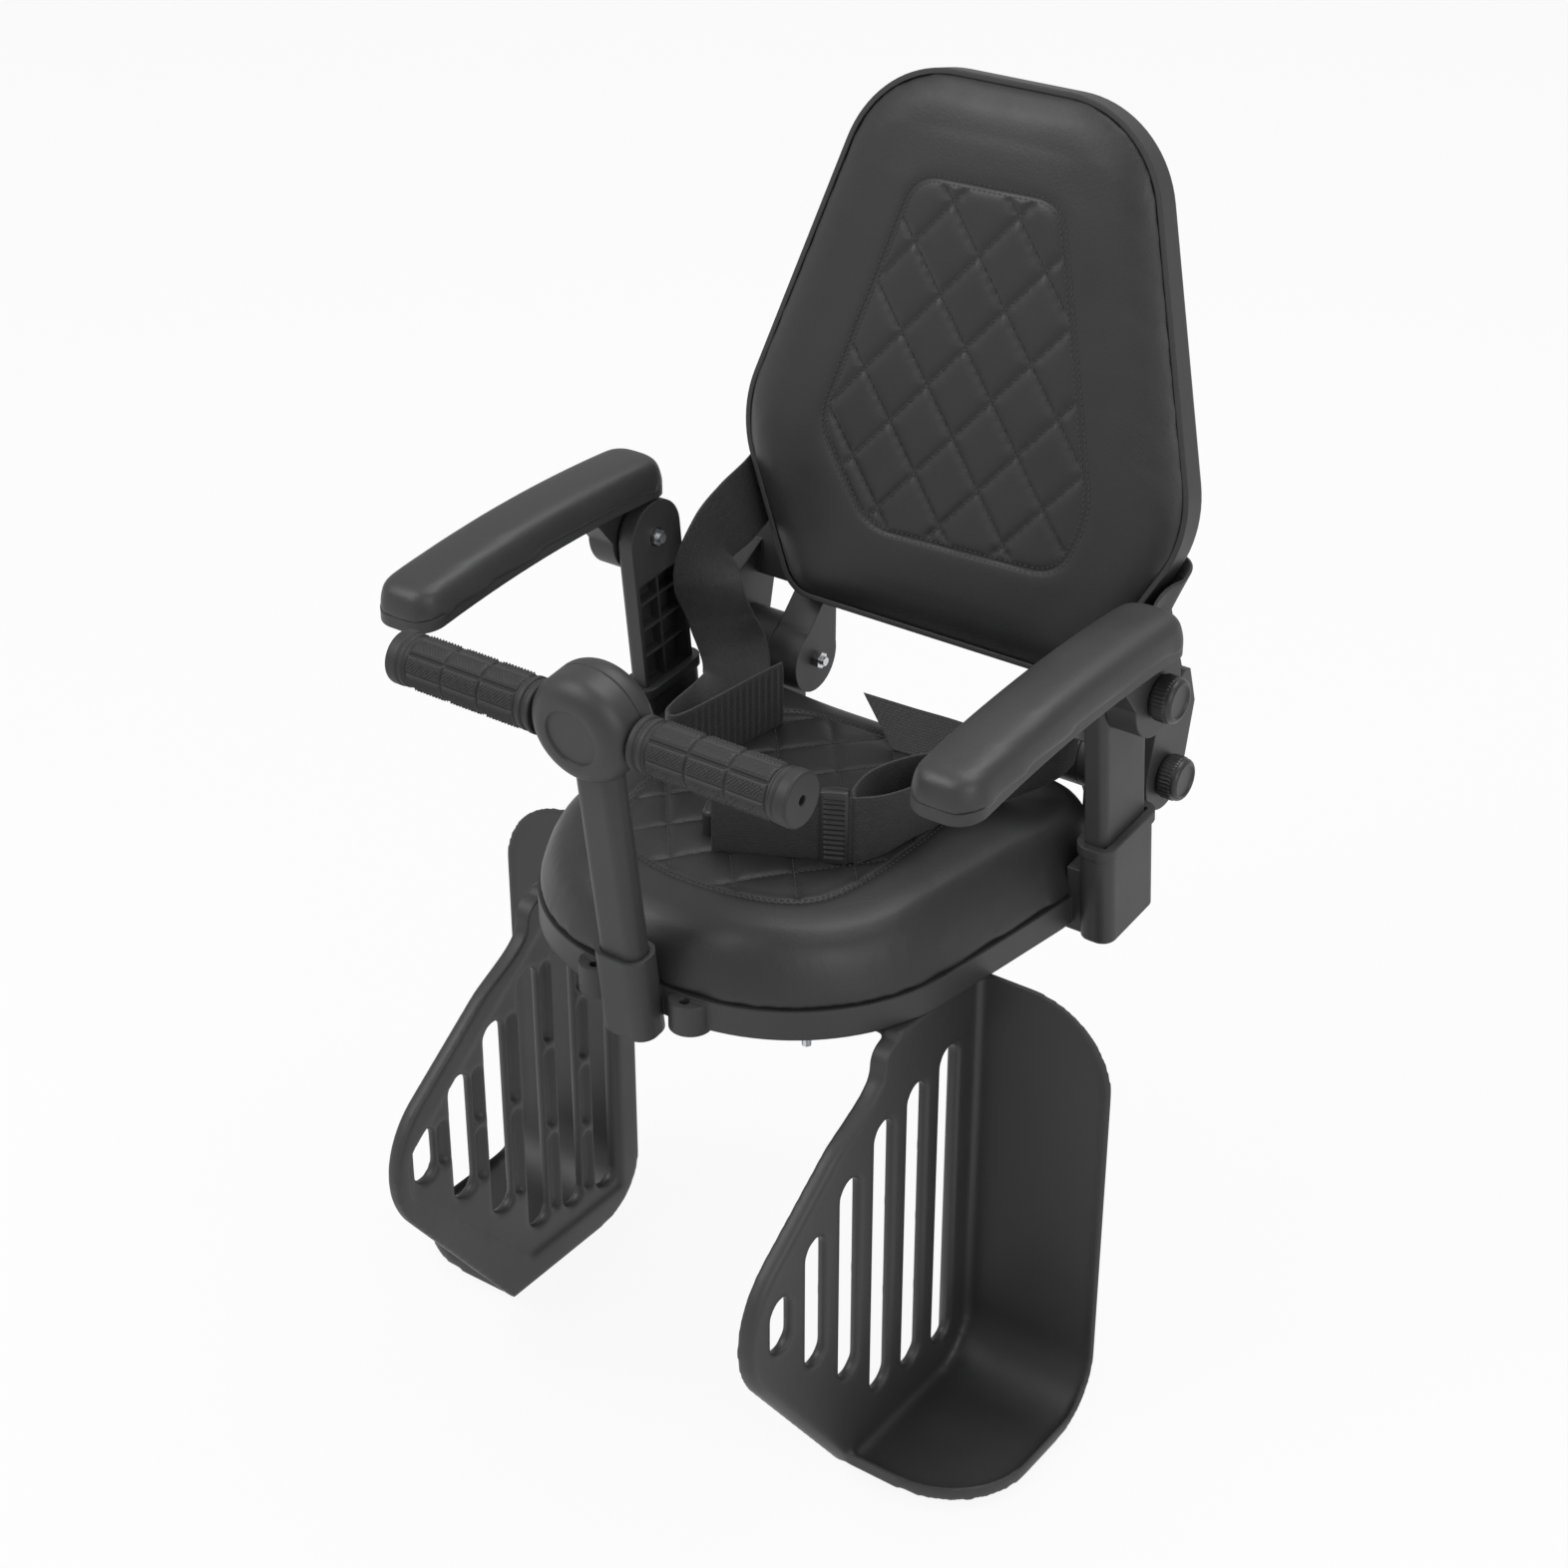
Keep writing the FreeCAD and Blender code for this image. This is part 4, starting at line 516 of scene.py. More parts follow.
def read_off(spots, reach, table):
    """Rows of a table that is given at `reach`, read off at other lengths, `spots`."""
    return np.column_stack([np.interp(spots, reach, column) for column in table.T])


def quilting_stitches(loop, origin):
    """Both ends of every stitch of the diamonds, in the panel's plane.

    Line k of a family holds the points origin + (wide * (k + s) / 2, long * (k - s) / 2), or the
    same with long turned over; stitches start at even steps of s and stay 4 mm inside the outline.
    """
    side = math.hypot(DIAMOND_WIDE, DIAMOND_LONG) / 2
    k, s = np.meshgrid(np.arange(-QUILT_LINES, QUILT_LINES + 1),
                       np.arange(-QUILT_LINES, QUILT_LINES, STITCH_PITCH / side), indexing="ij")
    ends = []
    for ahead in (0, STITCH_LONG / side):
        x = (origin[0] + DIAMOND_WIDE * (k + s + ahead) / 2).ravel()
        y = (DIAMOND_LONG * (k - s - ahead) / 2).ravel()
        ends.append(np.vstack([np.column_stack([x, origin[1] + turn * y]) for turn in (1, -1)]))
    kept = (depth_inside(ends[0], loop) > QUILT_MARGIN) & (depth_inside(ends[1], loop) > QUILT_MARGIN)
    return ends[0][kept], ends[1][kept]


def border_stitches(loop, offset):
    """Both ends of every stitch of a row beside a closed outline, `offset` to its inner side."""
    closed = np.vstack([loop, loop[:1]])
    reach = walked(closed)
    starts = np.arange(0, reach[-1] - STITCH_LONG, STITCH_PITCH)
    ends = []
    for ahead in (0, STITCH_LONG):
        spots = read_off((starts + ahead) % reach[-1], reach, closed)
        run = read_off((starts + ahead + STITCH_AIM) % reach[-1], reach, closed) - spots
        run /= np.linalg.norm(run, axis=1, keepdims=True)
        ends.append(spots + offset * np.column_stack([-run[:, 1], run[:, 0]]))
    return ends[0], ends[1]


def leather(name, dark, light, pebble_mm):
    """Coated fabric embossed with a pebble grain, as a bump of cells, with slow drifts of tone."""
    material, tree, shader = new_material(name)
    where = add_node(tree, "ShaderNodeTexCoord").outputs["Object"]
    pebble = add_node(tree, "ShaderNodeTexVoronoi", {"Vector": where, "Scale": 1000 / pebble_mm},
                      feature="SMOOTH_F1")
    drift = add_node(tree, "ShaderNodeTexNoise", {"Vector": where, "Scale": 1000 / LEATHER_DRIFT_MM,
                                                  "Detail": 4.0})
    tint(tree, shader, drift.outputs["Fac"], dark, light, smooth=0.42, rough=0.54, span=NOISE_RANGE)
    relief = add_node(tree, "ShaderNodeBump", {"Height": pebble.outputs["Distance"], "Strength": 0.6,
                                               "Distance": PEBBLE_DEPTH}, invert=True)
    tree.links.new(relief.outputs[0], shader.inputs["Normal"])
    return material


# Pebbles of such leather are about 0.6 mm; they are drawn at 1.5 mm so that they show.
cover = leather("polyurethane_leather", "#202021", "#252526", pebble_mm=1.5)
up = np.array([0.0, 0.0, 1.0])
seat_low, seat_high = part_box("seat_cushion")
seat_cushion = swollen("seat_cushion", "seat_cushion_cover", lambda co: co[:, 2] < seat_low[2] + SEAT_HELD,
                       FOAM_CELL, FOAM_SWELL, FOAM_SHRINK, TAUT_ROUNDS, FOAM_SOFT, FOAM_LEVELS)
drawn_over(seat_cushion, lambda co: co[:, 2] - seat_low[2], up, SEAT_OUT, SEAT_DOWN, SEAT_SKIRT)
seat_loop = rounded_outline(mirrored(SEAT_PANEL), SEAT_PANEL_ROUND)
push_in(seat_cushion, lambda co: sewn_in(co[:, :2], seat_loop, SEAT_VERTEX, SEAT_QUILT, SEAT_PANEL_DROP), up)
seat_cushion.data.materials.append(cover)
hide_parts("seat_cushion")
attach(seat_cushion, "seat")

# Sewing thread: bonded nylon, a satin filament that lies in the seams as short bright dashes. Each
# stitch is a small spindle of its own.
PLY_MM = 0.8
THREAD_RADIUS = 0.00042
THREAD_RINGS = 5
THREAD_SIDES = 6
THREAD_TAPER = 0.7
THREAD_BOW = 0.5
CAST_FROM = 0.12


def tube_faces(rows, columns):
    """Faces of a stack of closed rings of points: quads between them, and a lid on both ends.

    Quad (i, j) joins points j and j + 1 of rings i and i + 1.
    """
    i, j = np.meshgrid(np.arange(rows - 1), np.arange(columns), indexing="ij")
    after = (j + 1) % columns
    quads = np.stack([i * columns + j, i * columns + after, (i + 1) * columns + after,
                      (i + 1) * columns + j], axis=-1).reshape(-1, 4)
    lids = np.array([np.arange(columns)[::-1], (rows - 1) * columns + np.arange(columns)])
    return quads, lids


def closed_piece(mesh):
    """A piece from a closed mesh, with its faces turned outwards and shaded smooth."""
    work = bmesh.new()
    work.from_mesh(mesh)
    bmesh.ops.recalc_face_normals(work, faces=work.faces)
    work.to_mesh(mesh)
    work.free()
    mesh.polygons.foreach_set("use_smooth", np.ones(len(mesh.polygons), bool))
    piece = bpy.data.objects.new(mesh.name, mesh)
    scene.collection.objects.link(piece)
    return piece


def thread(name, piece, loop, origin, place, outward):
    """Stitches laid on a cover, one bowed spindle from each head to each tail.

    Heads and tails are dropped onto the cover along -outward. A spindle's point (a, b), with a
    from -1 to 1, is middle + a * half run + radius * (1 - 0.7 a^2) * (cos b * side + sin b * outward),
    raised by half a radius * (1 - a^2).
    """
    rows = [quilting_stitches(loop, origin)] + [border_stitches(loop, row) for row in SEAM_ROWS]
    heads, tails = [np.vstack(ends) for ends in zip(*rows)]
    shell = bmesh.new()
    shell.from_mesh(piece.data)
    skin = BVHTree.FromBMesh(shell)
    shell.free()
    inward = Vector(-outward)
    starts = place(np.vstack([heads, tails])) + CAST_FROM * outward
    hits = [skin.ray_cast(Vector(start), inward)[0] for start in starts]
    landed = np.array([hit if hit else start for hit, start in zip(hits, starts)])
    head, tail = np.split(landed, 2)
    run = (tail - head) / 2
    side = np.cross(run, outward)
    side /= np.linalg.norm(side, axis=1, keepdims=True)
    a = np.linspace(-1, 1, THREAD_RINGS)[:, None]
    b = np.arange(THREAD_SIDES) * 2 * math.pi / THREAD_SIDES
    thick = THREAD_RADIUS * (1 - THREAD_TAPER * a ** 2)
    lift = thick * np.sin(b) + THREAD_RADIUS * THREAD_BOW * (1 - a ** 2)
    points = (((head + tail) / 2)[:, None, None] + a[None, ..., None] * run[:, None, None]
              + (thick * np.cos(b))[None, ..., None] * side[:, None, None]
              + lift[None, ..., None] * outward)
    quads, lids = tube_faces(THREAD_RINGS, THREAD_SIDES)
    first = np.arange(len(run))[:, None, None] * THREAD_RINGS * THREAD_SIDES
    faces = (first + quads).reshape(-1, 4).tolist() + (first + lids).reshape(-1, THREAD_SIDES).tolist()
    mesh = bpy.data.meshes.new(name)
    mesh.from_pydata(points.reshape(-1, 3).tolist(), [], faces)
    return closed_piece(mesh)


sewing_thread, tree, shader = new_material("bonded_nylon_thread")
where = add_node(tree, "ShaderNodeTexCoord").outputs["Object"]
ply = add_node(tree, "ShaderNodeTexNoise", {"Vector": where, "Scale": 1000 / PLY_MM, "Detail": 2.0})
tint(tree, shader, ply.outputs["Fac"], "#29292a", "#3d3d3e", smooth=0.4, rough=0.6)
seat_thread = thread("seat_stitching", seat_cushion, seat_loop, SEAT_VERTEX,
                     lambda flat: np.column_stack([flat, np.full(len(flat), seat_high[2])]), up)
seat_thread.data.materials.append(sewing_thread)
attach(seat_thread, "seat")

# Backrest cushion: the same covered foam, glued into the tray of the backrest, with a quilted
# panel that is widest at the child's ribs.
RECLINE = math.radians(12.2)
BACK_PANEL = np.array([(0.088, 0.110), (0.103, 0.152), (0.052, 0.329),
                       (-0.050, 0.327), (-0.096, 0.163), (-0.050, 0.106)])
BACK_PANEL_ROUND = 0.018
BACK_PANEL_DROP = 0.0
BACK_QUILT = 0.0023
BACK_VERTEX = (0.002, 0.2873)
BACK_OUT = 0.0045
BACK_SKIRT = 0.012
TRAY_DEEP = 0.0182
hinge = np.array([joint for joint in frame["joints"] if joint["name"] == "backrest_fold"][0]["pos_m"])
back_forward = np.array([0.0, -math.cos(RECLINE), math.sin(RECLINE)])
back_up = np.array([0.0, math.sin(RECLINE), math.cos(RECLINE)])


def on_back(co):
    """Points as (across, up the back) in the plane of the reclined backrest."""
    rel = co - hinge
    return np.column_stack([rel[:, 0], rel @ back_up])


def off_back(flat):
    """Points of the reclined plane, (across, up the back), back in space."""
    return hinge + np.outer(flat[:, 0], (1.0, 0.0, 0.0)) + np.outer(flat[:, 1], back_up)


def above_tray(co):
    """How far points stand out of the tray that holds the cushion."""
    return (co - hinge) @ back_forward - TRAY_DEEP


back_cushion = swollen("backrest_cushion", "backrest_cushion_cover", lambda co: above_tray(co) < 0,
                       FOAM_CELL, FOAM_SWELL, FOAM_SHRINK, TAUT_ROUNDS, FOAM_SOFT, FOAM_LEVELS)
drawn_over(back_cushion, above_tray, back_forward, BACK_OUT, 0, BACK_SKIRT)
back_loop = rounded_outline(BACK_PANEL, BACK_PANEL_ROUND)
push_in(back_cushion, lambda co: sewn_in(on_back(co), back_loop, BACK_VERTEX, BACK_QUILT, BACK_PANEL_DROP),
        back_forward)
back_cushion.data.materials.append(cover)
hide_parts("backrest_cushion")
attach(back_cushion, "backrest")
back_thread = thread("backrest_stitching", back_cushion, back_loop, BACK_VERTEX, off_back, back_forward)
back_thread.data.materials.append(sewing_thread)
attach(back_thread, "backrest")

# Armrest pads: integral-skin foam moulded over the base, smooth with a faint leather emboss. The
# skin is drawn down to a crisp parting line where the pad meets its base.
PAD_CELL = 0.0035
PAD_SWELL = 0.0050
PAD_SHRINK = 0.0012
PAD_ROUNDS = 12
PAD_SOFT = 10
PAD_LEVELS = 1
PAD_HELD = 0.004
PAD_CUT = 0.006
PAD_OUT = 0.0014
PAD_DOWN = 0.0042
PAD_SKIRT = 0.011


def above_base(co):
    """Height of points over the pad's arched underside.

    The underside is read from the points themselves: the lowest one in each 6 mm along the pad,
    joined by straight lines.
    """
    along = co[:, 1] - co[:, 1].min()
    cut = np.round(along / PAD_CUT).astype(int)
    lowest = np.full(cut.max() + 1, co[:, 2].max())
    np.minimum.at(lowest, cut, co[:, 2])
    return co[:, 2] - np.interp(along, np.arange(len(lowest)) * PAD_CUT, lowest)


# The emboss is about as fine as the cushions' and is drawn at 1.8 mm so that it shows.
pad_skin = leather("integral_skin_foam", "#29292a", "#2f2f30", pebble_mm=1.8)
for side in ("left", "right"):
    node = side + "_armrest_pad"
    arm_pad = swollen(node, node + "_skin", lambda co: above_base(co) < PAD_HELD,
                      PAD_CELL, PAD_SWELL, PAD_SHRINK, PAD_ROUNDS, PAD_SOFT, PAD_LEVELS)
    drawn_over(arm_pad, above_base, up, PAD_OUT, PAD_DOWN, PAD_SKIRT)
    arm_pad.data.materials.append(pad_skin)
    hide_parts(node)
    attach(arm_pad, side + "_armrest")

# Handlebar grips: black rubber sleeves pushed over the tube, moulded with collars at both ends and
# three rings of eight blocks, by turns hatched and cross-knurled. A small vent hole is left in
# the closed end.
GRIP_STEP = 0.0005
GRIP_AROUND = 188
GRIP_RADIUS = 0.0148
GRIP_RINGS = 3
GRIP_BLOCKS = 8
GRIP_ZONE = (0.0118, 0.0140)
GROOVE_HALF = 0.00112
GROOVE_DEPTH = 0.0018
HATCH_PITCH = 0.0022
HATCH_DEPTH = 0.0010
HATCH_MARGIN = 0.0018
HATCH_EDGE = 0.0004
CROSS_GAIN = 1.5
# The sleeve's outline as (distance from the hub or from the end, radius) in millimetres.
GRIP_HUB_END = ((0, 12), (0.3, 15.3), (1, 16), (3.4, 16), (4.2, 15.2), (4.6, 14.3), (6.2, 14.3), (6.7, 15.2),
                (7.2, 15.6), (9.4, 15.6), (10.2, 14.2), (11.3, 14.2), (11.8, 14.8))
GRIP_FAR_END = ((14, 14.8), (13.5, 14.2), (12.4, 14.2), (11.6, 15.3), (11, 15.6), (9.8, 15.6), (9.2, 14.9),
                (8.5, 14.9), (7.8, 15.8), (7, 16), (1.6, 16), (0.5, 15.6), (0, 14.6), (0, 3.3), (0.4, 2.8),
                (6, 2.8), (6, 0.1))


def lofted(name, rings, along, around):
    """A closed skin over a stack of closed rings of points, with a flat lid on both ends.

    `along` gives the first UV coordinate of each ring, and `around` the second of each point, with
    one more to close it.
    """
    rows, columns = rings.shape[:2]
    quads, lids = tube_faces(rows, columns)
    mesh = bpy.data.meshes.new(name)
    mesh.from_pydata(rings.reshape(-1, 3).tolist(), [], quads.tolist() + lids.tolist())
    i = quads[:, 0] // columns
    j = quads[:, 0] % columns
    s = np.stack([along[i], along[i], along[i + 1], along[i + 1]], axis=-1).ravel()
    t = np.stack([around[j], around[j + 1], around[j + 1], around[j]], axis=-1).ravel()
    flat = np.zeros((len(mesh.loops), 2))
    flat[:len(s)] = np.column_stack([s, t])
    mesh.uv_layers.new(name="cloth").data.foreach_set("uv", flat.ravel())
    return closed_piece(mesh)


def turned(box, sign, place, radius, angle):
    """Rings of a piece turned about a line along x, from the inner end of its box outwards.

    Ring point (i, j) = (inner + sign * place i, y + radius ij * cos angle j,
    z + radius ij * sin angle j), with (y, z) the middle of the box.
    """
    low, high = box
    inner = low[0] if sign > 0 else high[0]
    return np.stack([np.broadcast_to((inner + sign * place)[:, None], radius.shape),
                     (low[1] + high[1]) / 2 + radius * np.cos(angle),
                     (low[2] + high[2]) / 2 + radius * np.sin(angle)], axis=-1)


def grip_rings(length):
    """Rings of a sleeve: distance from the hub, and radius at every angle.

    The outline is walked in even steps. Inside the zone of blocks the radius drops in the grooves,
    by depth * (1 - distance / half width), and rises in each block by |sin| of one diagonal count
    of pitches, or of two crossing counts multiplied, on every second row.
    """
    hub = np.array(GRIP_HUB_END) / 1000
    far = np.array(GRIP_FAR_END) / 1000 * (-1, 1) + (length, 0)
    walk = np.vstack([hub, far])
    reach = walked(walk)
    spots = np.arange(0, reach[-1], GRIP_STEP)
    place, radius = read_off(spots, reach, walk).T
    angle = np.arange(GRIP_AROUND) * 2 * math.pi / GRIP_AROUND
    zone = length - sum(GRIP_ZONE)
    zone_end = reach[len(hub)] + GRIP_STEP / 5
    block = np.where(spots < zone_end, (place - GRIP_ZONE[0]) / zone * GRIP_RINGS, -1)[:, None]
    row = angle[None] / (2 * math.pi) * GRIP_BLOCKS
    to_ring = np.abs(block - np.round(block)) * zone / GRIP_RINGS
    to_row = np.abs(row - np.round(row)) * 2 * math.pi * GRIP_RADIUS / GRIP_BLOCKS
    edge = np.minimum(to_ring, to_row)
    groove = -GROOVE_DEPTH * np.clip(1 - edge / GROOVE_HALF, 0, 1)
    rise = place[:, None] / HATCH_PITCH
    turn = angle[None] * GRIP_RADIUS / HATCH_PITCH
    hatch = np.abs(np.sin(math.pi * (rise + turn)))
    cross = hatch * np.abs(np.sin(math.pi * (rise - turn))) * CROSS_GAIN
    raised = HATCH_DEPTH * np.where(np.floor(row) % 2 == 0, hatch, cross)
    raised = raised * np.clip((edge - HATCH_MARGIN) / HATCH_EDGE, 0, 1)
    patterned = (block >= 0) & (block <= GRIP_RINGS)
    return place, spots, angle, radius[:, None] + np.where(patterned, groove + raised, 0)


# The rubber's own grain is finer than 0.3 mm and is drawn at 1.4 mm.
rubber = moulded_plastic("grip_rubber", "#222223", "#282829", roughness=0.58,
                         grain_mm=1.4, depth_mm=0.03, edge_mm=0.2)
for side, sign in (("left", 1), ("right", -1)):
    node = side + "_grip"
    low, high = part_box(node)
    place, spots, angle, radius = grip_rings(high[0] - low[0])
    rings = turned((low, high), sign, place, radius, angle)
    sleeve = lofted(node + "_sleeve", rings, spots, np.append(angle, 2 * math.pi) * GRIP_RADIUS)
    sleeve.data.materials.append(rubber)
    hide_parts(node)
    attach(sleeve, "seat")

# Harness webbing: 44 mm nylon woven flat with a rounded selvedge, screwed behind the backrest's
# brackets and lying loose on the seat. The right one ends in a stretch of sewn-on anti-slip ribs.
WEB_HALF = 0.022
WEB_THICK = 0.0021
WEB_STEP = 0.0012
WEB_FLAT_POINTS = 13
WEB_BEND_POINTS = 7
SPAN_POINTS = 24
RIB_REACH = 0.082
RIB_PITCH = 0.0058
RIB_HEIGHT = 0.0007
SLACK_HALF = 0.016
SLACK_SLANT = 1.2
WEAVE_LONG = 3.2
WEAVE_WIDE = 1.9
WEAVE_GAP = 0.35
WEAVE_DEPTH = 0.00018
WEB_SHEEN = 0.12
KEEPER_SPOT = np.array([58.8, -32.6])
KEEPER_ALONG = np.array([0.894, 0.448])
EDGE_LEVEL = 90.3


def by_keeper(distance):
    """Route entry on the straight run through the adjuster, this many millimetres behind it."""
    return (*(KEEPER_SPOT + distance * KEEPER_ALONG), EDGE_LEVEL), (0, 0, 1)


# Each entry is a point of the belt's middle line in millimetres and the direction of its width.
LEFT_ROUTE = [((132, 199, 180), (0.1, 0.2, 0.97)), ((147, 199, 178), (0.2, 0.2, 0.95)),
              ((152, 189, 175), (0.35, 0.2, 0.92)), ((147, 171, 168), (0.45, 0.2, 0.87)),
              ((140, 149, 151), (0.55, 0.1, 0.84)), ((137, 128, 126), (0.6, 0.1, 0.8)),
              ((131, 112, 104), (0.5, 0.2, 0.85)), ((110, 84, 92.3), (0.3, 0.1, 0.95)),
              ((91, 50, 90.3), (0.1, 0, 1)), ((86, 14, 90), (0.22, -0.08, 1)),
              ((80, -11, 90), (0.1, -0.1, 1)), by_keeper(14), by_keeper(9), by_keeper(0),
              by_keeper(-9), by_keeper(-40), by_keeper(-73)]
# The loose end beyond the adjuster, and a slack end that lies on the back of the seat, cut aslant.
TAIL_ROUTE = [by_keeper(3), by_keeper(10), ((64, -17, 90), (-0.1, 0, 1)), ((62, 6, 90), (-0.15, 0, 1)),
              ((69, 34, 90), (0, 0, 1)), ((84, 60, 89), (0.2, 0, 1))]
SLACK_ROUTE = [((109, 86, 92), (0.3, 0.1, 0.95)), ((108, 97, 88), (0.3, 0.4, 0.85)),
               ((96, 105, 82), (0.15, 0.7, 0.65)), ((70, 110, 78), (0.05, 0.8, 0.55)),
               ((40, 112, 77), (0, 0.82, 0.55)), ((14, 111, 76.5), (-0.05, 0.82, 0.55)),
               ((-8, 110, 76.5), (-0.1, 0.82, 0.55))]
RIGHT_ROUTE = [((-132, 199, 180), (-0.1, 0.2, 0.97)), ((-147, 199, 178.5), (-0.2, 0.2, 0.95)),
               ((-152, 190, 176), (-0.3, 0.2, 0.93)), ((-150, 170, 172), (-0.35, 0.2, 0.92)),
               ((-148, 150, 168), (-0.4, 0.1, 0.91)), ((-146, 122, 160), (-0.3, -0.25, 0.92)),
               ((-140, 108, 138), (-0.75, -0.5, 0.43)), ((-132, 112, 110), (-0.9, -0.42, 0.1)),
               ((-121, 111, 91), (-0.85, -0.5, 0.15)), ((-110, 97, 80), (-0.8, -0.5, 0.3)),
               ((-99, 72, 80), (-0.6, -0.3, 0.7)), ((-92, 40, 87), (-0.2, -0.1, 0.95)),
               ((-88, 8, 90.3), (0, 0, 1)), ((-84, -7, 90.3), (0, 0, 1)), ((-77, -11, 90.3), (0, 0, 1)),
               ((-73, -2, 90.3), (0, 0, 1)), ((-70, 24, 90.3), (0, 0, 1)), ((-67, 58, 90.3), (0, 0, 1)),
               ((-64, 84, 90.3), (0, 0, 1))]


def smooth_line(points):
    """A smooth line through points.

    Each span is the cubic whose slope at a point is half the chord between that point's neighbours.
    """
    padded = np.vstack([2 * points[0] - points[1], points, 2 * points[-1] - points[-2]])
    t = np.linspace(0, 1, SPAN_POINTS, endpoint=False)[None, :, None]
    a, b, c, d = (padded[k:len(padded) - 3 + k, None] for k in range(4))
    curve = b + 0.5 * t * (c - a + t * (2 * a - 5 * b + 4 * c - d + t * (3 * (b - c) + d - a)))
    return np.vstack([curve.reshape(-1, points.shape[1]), points[-1:]])


def webbing_belt(name, route, broad, ribbed, slant):
    """A flat strap with round edges, carried along a smooth line through its route.

    Ring point (a, b) = line + a * wide + b * face, where wide is the route's direction less its
    part along the line, face is square to both, and (a, b) walks round a flat oval, with a from
    -broad to broad. Over the last `ribbed` metres the faces rise by height * cos^4 of the length
    counted in rib pitches. The end is cut aslant: each point moves along the line by slant * a,
    more and more near the end.
    """
    line = smooth_line(np.array([spot for spot, hint in route]) / 1000)
    wide = smooth_line(np.array([hint for spot, hint in route], float))
    reach = walked(line)
    spots = np.linspace(0, reach[-1], int(reach[-1] / WEB_STEP))
    line = read_off(spots, reach, line)
    wide = read_off(spots, reach, wide)
    along = np.gradient(line, axis=0)
    along /= np.linalg.norm(along, axis=1, keepdims=True)
    wide = wide - along * (wide * along).sum(1, keepdims=True)
    wide /= np.linalg.norm(wide, axis=1, keepdims=True)
    face = np.cross(along, wide)
    half = WEB_THICK / 2
    flat = np.linspace(-1, 1, WEB_FLAT_POINTS) * (broad - half)
    bend = np.linspace(-math.pi / 2, math.pi / 2, WEB_BEND_POINTS)[1:-1]
    a = np.concatenate([flat, broad - half + half * np.cos(bend[::-1]), flat[::-1],
                        half - broad - half * np.cos(bend)])
    b = np.concatenate([np.full(WEB_FLAT_POINTS, half), half * np.sin(bend[::-1]),
                        np.full(WEB_FLAT_POINTS, -half), half * np.sin(bend)])
    rib = RIB_HEIGHT * np.cos(math.pi * spots / RIB_PITCH) ** 4 * (spots > reach[-1] - ribbed)
    lifted = b[None] + np.sign(b)[None] * rib[:, None] * (np.abs(a) < broad - 2 * half)[None]
    rings = line[:, None] + a[None, :, None] * wide[:, None] + lifted[..., None] * face[:, None]
    shift = slant * np.clip(1 - (reach[-1] - spots) / (2 * broad), 0, 1)[:, None] * a
    return lofted(name, rings + shift[..., None] * along[:, None], spots, np.append(a, a[0]))


webbing, tree, shader = new_material("woven_nylon_webbing")
# Threads of such webbing are about 0.8 mm; the weave is drawn at 3.2 by 1.9 mm so that it shows.
where = add_node(tree, "ShaderNodeUVMap", uv_map="cloth").outputs[0]
scaled = add_node(tree, "ShaderNodeMapping", {"Vector": where, "Scale": (1000, 1000, 1000)})
weave = add_node(tree, "ShaderNodeTexBrick", {
    "Vector": scaled.outputs[0], "Color1": linear("#202021"), "Color2": linear("#272728"),
    "Mortar": linear("#171718"), "Scale": 1.0, "Mortar Size": WEAVE_GAP, "Mortar Smooth": 1.0,
    "Brick Width": WEAVE_LONG, "Row Height": WEAVE_WIDE})
tree.links.new(weave.outputs["Color"], shader.inputs["Base Color"])
fuzz = add_node(tree, "ShaderNodeTexNoise", {"Vector": scaled.outputs[0], "Scale": 2.0, "Detail": 2.0})
gloss = add_node(tree, "ShaderNodeMapRange", {0: fuzz.outputs["Fac"], 3: 0.55, 4: 0.75})
tree.links.new(gloss.outputs[0], shader.inputs["Roughness"])
relief = add_node(tree, "ShaderNodeBump", {"Height": weave.outputs["Fac"], "Strength": 1.0,
                                           "Distance": WEAVE_DEPTH}, invert=True)
tree.links.new(relief.outputs[0], shader.inputs["Normal"])
shader.inputs["Sheen Weight"].default_value = WEB_SHEEN
for node, route, ribbed in (("left_belt", LEFT_ROUTE, 0), ("right_belt", RIGHT_ROUTE, RIB_REACH)):
    belt = webbing_belt(node + "_webbing", route, WEB_HALF, ribbed, 0)
    belt.data.materials.append(webbing)
    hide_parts(node)
    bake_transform(belt)
for name, route, broad, slant in (("left_belt_tail", TAIL_ROUTE, WEB_HALF, 0),
                                  ("left_belt_slack", SLACK_ROUTE, SLACK_HALF, SLACK_SLANT)):
    loose = webbing_belt(name, route, broad, 0, slant)
    loose.data.materials.append(webbing)
    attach(loose, "seat")

# Belt adjuster: an acetal slider that the left belt is threaded through on edge, with thumb ridges
# between two smooth rails on each broad side.
ADJUSTER_HALF = (0.0040, 0.0085)
ADJUSTER_SQUARE = 5
ADJUSTER_RINGS = 180
ADJUSTER_AROUND = 72
RIDGE_PITCH = 0.0034
RIDGE_DEPTH = 0.0009
RIDGE_SPAN = 0.0058
RIDGE_FOOT = 0.003
RIDGE_HEAD = 0.005
LID_ROUND = 0.0015


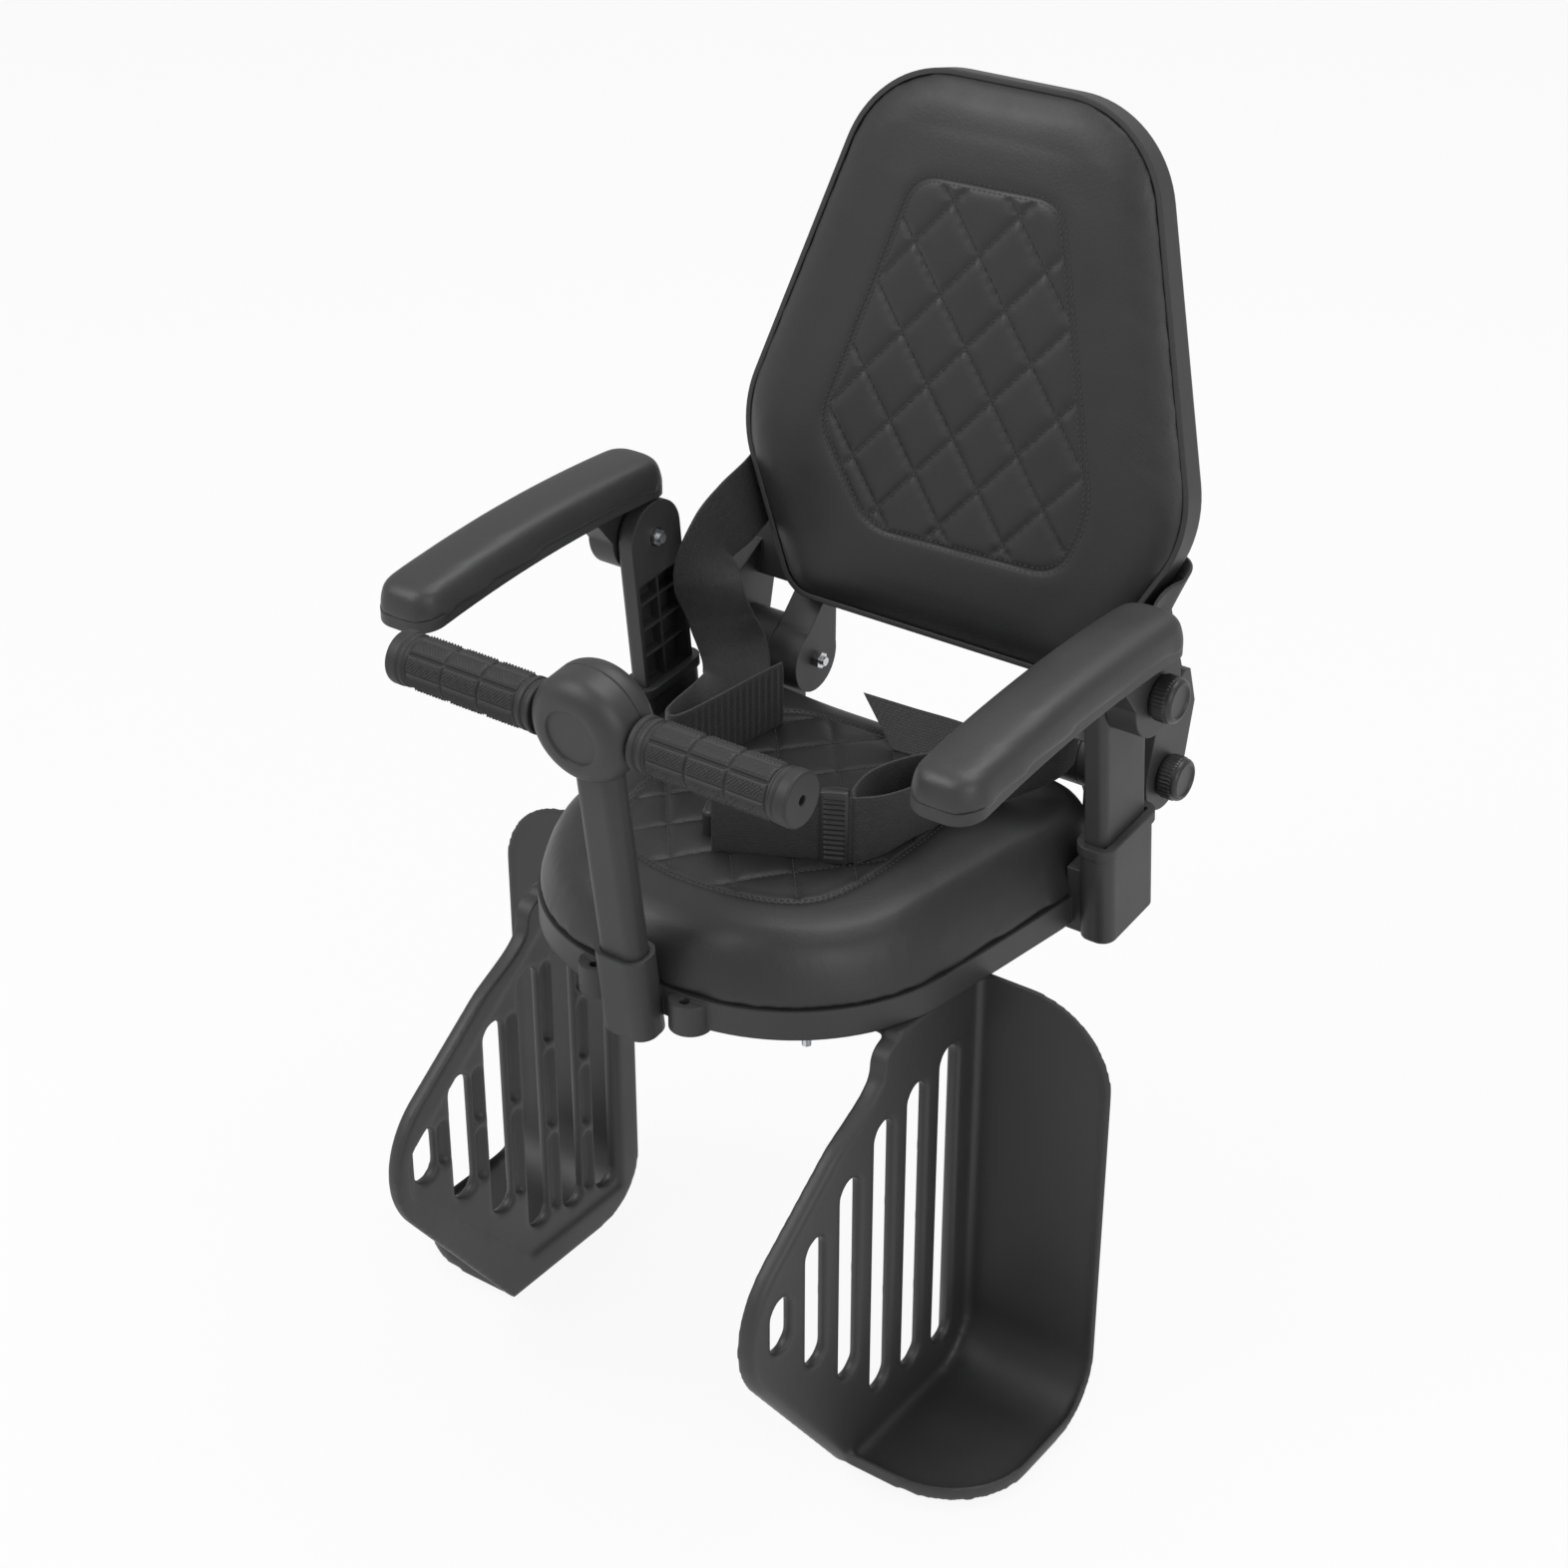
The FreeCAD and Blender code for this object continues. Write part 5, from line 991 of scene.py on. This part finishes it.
def adjuster_rings(levels, angle):
    """Rings of the slider, a rounded rectangle at each level.

    The section is |x / a|^n + |y / b|^n = 1. Between the rails its broad sides sink by
    depth * sin^2 of the height counted in ridge pitches, and near the top the whole section draws
    in by a quarter circle.
    """
    bottom, top = levels[[0, -1]]
    power = 2 / ADJUSTER_SQUARE
    across = np.sign(np.cos(angle)) * np.abs(np.cos(angle)) ** power * ADJUSTER_HALF[0]
    lengthways = np.sign(np.sin(angle)) * np.abs(np.sin(angle)) ** power * ADJUSTER_HALF[1]
    valley = RIDGE_DEPTH * np.sin(math.pi * (levels - bottom) / RIDGE_PITCH) ** 2
    valley = valley * (levels < top - RIDGE_HEAD) * (levels > bottom + RIDGE_FOOT)
    under_lid = np.clip(1 - (top - levels) / LID_ROUND, 0, 1)
    lid_inset = LID_ROUND * (1 - np.sqrt(1 - under_lid ** 2))
    between_rails = np.abs(lengthways) < RIDGE_SPAN
    x = across[None] - np.sign(across)[None] * (valley[:, None] * between_rails[None] + lid_inset[:, None])
    y = lengthways[None] - np.sign(lengthways)[None] * lid_inset[:, None]
    forward = np.append(KEEPER_ALONG, 0)
    sideways = np.array([KEEPER_ALONG[1], -KEEPER_ALONG[0], 0])
    middle = np.append(KEEPER_SPOT / 1000, 0)
    return middle + x[..., None] * sideways + y[..., None] * forward + levels[:, None, None] * up


low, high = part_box("belt_keeper")
levels = np.linspace(low[2], high[2], ADJUSTER_RINGS)
angle = np.arange(ADJUSTER_AROUND) * 2 * math.pi / ADJUSTER_AROUND
adjuster = lofted("belt_adjuster", adjuster_rings(levels, angle), levels, np.append(angle, 2 * math.pi))
adjuster.data.materials.append(fitting_plastic)
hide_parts("belt_keeper")
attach(adjuster, "seat")

# Clamp knobs: round acetal caps screwed onto the pivot bolts, with fine ridges to grip round the
# side and a raised ring round a dished face.
KNOB_STEP = 0.0004
KNOB_AROUND = 216
KNOB_RIDGES = 36
KNOB_RIDGE = 0.0006
KNOB_SIDE = (0.0016, 0.0104)
KNOB_SIDE_RADIUS = 0.013
KNOB_EASE = 0.001
# Outline as (distance from the pivot's lug, radius) in millimetres.
KNOB_OUTLINE = ((0, 9), (0, 12.4), (0.8, 13.3), (1.6, 13.6), (10.4, 13.6), (11.8, 13.5), (13.2, 12.8),
                (14, 11.8), (14.3, 10.8), (14.1, 10), (13.4, 9.5), (13, 9), (12.8, 7), (12.7, 0.1))


def knob_rings():
    """Rings of a knob: distance from the lug, and radius at every angle.

    The outline is walked in even steps. On the side the radius gains
    ridge * (1 + cos(count * angle)) / 2, which fades in and out over 1 mm.
    """
    walk = np.array(KNOB_OUTLINE) / 1000
    reach = walked(walk)
    spots = np.arange(0, reach[-1], KNOB_STEP)
    place, radius = read_off(spots, reach, walk).T
    angle = np.arange(KNOB_AROUND) * 2 * math.pi / KNOB_AROUND
    begun = np.clip((place - KNOB_SIDE[0]) / KNOB_EASE, 0, 1)
    left = np.clip((KNOB_SIDE[1] - place) / KNOB_EASE, 0, 1)
    ridged = begun * left * (radius > KNOB_SIDE_RADIUS)
    ridges = KNOB_RIDGE * (0.5 + 0.5 * np.cos(KNOB_RIDGES * angle))
    return place, spots, angle, radius[:, None] + ridged[:, None] * ridges


place, spots, angle, radius = knob_rings()
for side, sign in (("left", 1), ("right", -1)):
    for joint in ("armrest", "backrest"):
        node = "%s_%s_knob" % (side, joint)
        rings = turned(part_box(node), sign, place, radius, angle)
        knob = lofted(node + "_cap", rings, spots, np.append(angle, 2 * math.pi))
        knob.data.materials.append(fitting_plastic)
        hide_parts(node)
        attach(knob, "%s_%s_clamp" % (side, joint))
